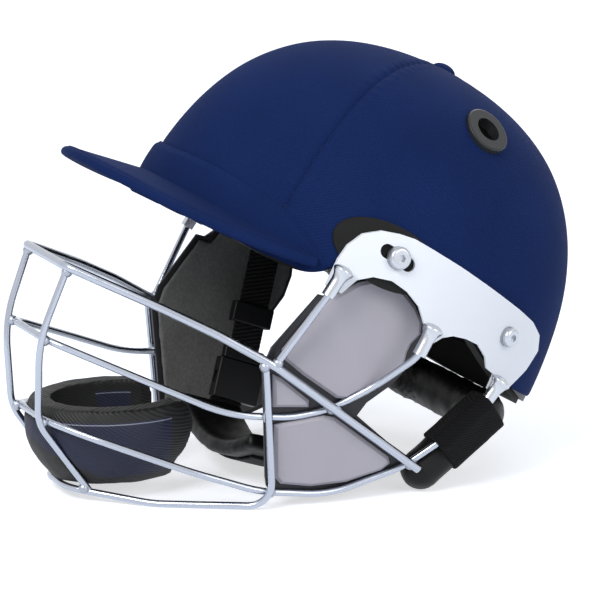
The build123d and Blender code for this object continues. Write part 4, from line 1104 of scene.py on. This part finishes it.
aside = add_node(
    tree, "ShaderNodeMath", {0: split.outputs["X"], 1: guard_reach[0]}, operation="DIVIDE"
)
behind = add_node(
    tree, "ShaderNodeMath", {0: split.outputs["Y"], 1: guard_middle[1]}, operation="SUBTRACT"
)
along = add_node(
    tree, "ShaderNodeMath", {0: behind.outputs[0], 1: guard_reach[1]}, operation="DIVIDE"
)
flat = add_node(tree, "ShaderNodeCombineXYZ", {0: aside.outputs[0], 1: along.outputs[0], 2: 0.0})
reach = add_node(tree, "ShaderNodeVectorMath", {0: flat.outputs[0]}, operation="LENGTH")
outside = add_node(
    tree, "ShaderNodeMath", {0: reach.outputs["Value"], 1: hollow_share}, operation="GREATER_THAN"
)
below = add_node(
    tree, "ShaderNodeMath", {0: split.outputs["Z"], 1: top_binding}, operation="LESS_THAN"
)
above = add_node(
    tree, "ShaderNodeMath", {0: split.outputs["Z"], 1: foot_binding}, operation="GREATER_THAN"
)
ahead = add_node(
    tree, "ShaderNodeMath", {0: split.outputs["Y"], 1: open_ends}, operation="LESS_THAN"
)
between = add_node(
    tree, "ShaderNodeMath", {0: below.outputs[0], 1: above.outputs[0]}, operation="MULTIPLY"
)
outer_face = add_node(
    tree, "ShaderNodeMath", {0: outside.outputs[0], 1: ahead.outputs[0]}, operation="MULTIPLY"
)
navy_part = add_node(
    tree, "ShaderNodeMath", {0: between.outputs[0], 1: outer_face.outputs[0]}, operation="MULTIPLY"
)
off_line = add_node(
    tree, "ShaderNodeMath", {0: split.outputs["Z"], 1: stitch_level}, operation="SUBTRACT"
)
off_line = add_node(tree, "ShaderNodeMath", {0: off_line.outputs[0]}, operation="ABSOLUTE")
on_line = add_node(
    tree, "ShaderNodeMath", {0: off_line.outputs[0], 1: stitch_half}, operation="LESS_THAN"
)
stitch = add_node(
    tree, "ShaderNodeMath", {0: on_line.outputs[0], 1: outer_face.outputs[0]}, operation="MULTIPLY"
)
rib_tone = add_node(
    tree,
    "ShaderNodeMix",
    {"Factor": rib.outputs["Fac"], "A": linear("#040A22"), "B": linear("#0A1436")},
    data_type="RGBA",
)
bound = add_node(
    tree,
    "ShaderNodeMix",
    {
        "Factor": navy_part.outputs[0],
        "A": linear("#050506"),
        "B": rib_tone.outputs["Result"],
    },
    data_type="RGBA",
)
tone = add_node(
    tree,
    "ShaderNodeMix",
    {
        "Factor": stitch.outputs[0],
        "A": bound.outputs["Result"],
        "B": linear("#8C8F9C"),
    },
    data_type="RGBA",
)
bump = add_node(
    tree,
    "ShaderNodeBump",
    {"Height": rib.outputs["Fac"], "Strength": 0.5, "Distance": 0.0004},
)
cloth = add_node(
    tree,
    "ShaderNodeBsdfPrincipled",
    {"Base Color": tone.outputs["Result"], "Roughness": 0.6, "Normal": bump.outputs[0]},
)
add_node(tree, "ShaderNodeOutputMaterial", {"Surface": cloth.outputs[0]})
guard = cushion("neck_guard", "neck_guard_cushion", 1.4, 4, 0.5, 15.0)
dress(guard, guard_cloth, "helmet", ["neck_guard"])

# Webbing: black polypropylene, 20 mm wide, woven with ribs across it. The straps are riveted to
# the shell, and the piece round the cup is a little paler, with closer ribs.
webbing = ribbed("black_polypropylene_webbing", "#040405", "#1B1B1F", 2.2, "Z", 0.65)
cup_band = ribbed("wide_polypropylene_webbing", "#040405", "#24242A", 2.1, "X", 0.65)
for node, finish in (
    ("strap_webbing_left", webbing),
    ("strap_webbing_right", webbing),
    ("cup_webbing", cup_band),
):
    strap = cushion(node, node + "_cloth", 0.8, 1, 0.05, 6.0)
    dress(strap, finish, "chin_strap", [node])

# Buckle and slider: a side-release buckle and a slider moulded in black acetal, satin, and
# threaded on the webbing.
black_acetal = moulded("black_acetal", "#08080A", "#101013", 0.4, 0.7, 0.15)
paint_nodes(black_acetal, "buckle_female", "buckle_male", "strap_slider")
paint_nodes(black_acetal, "buckle_prong_front", "buckle_prong_rear")
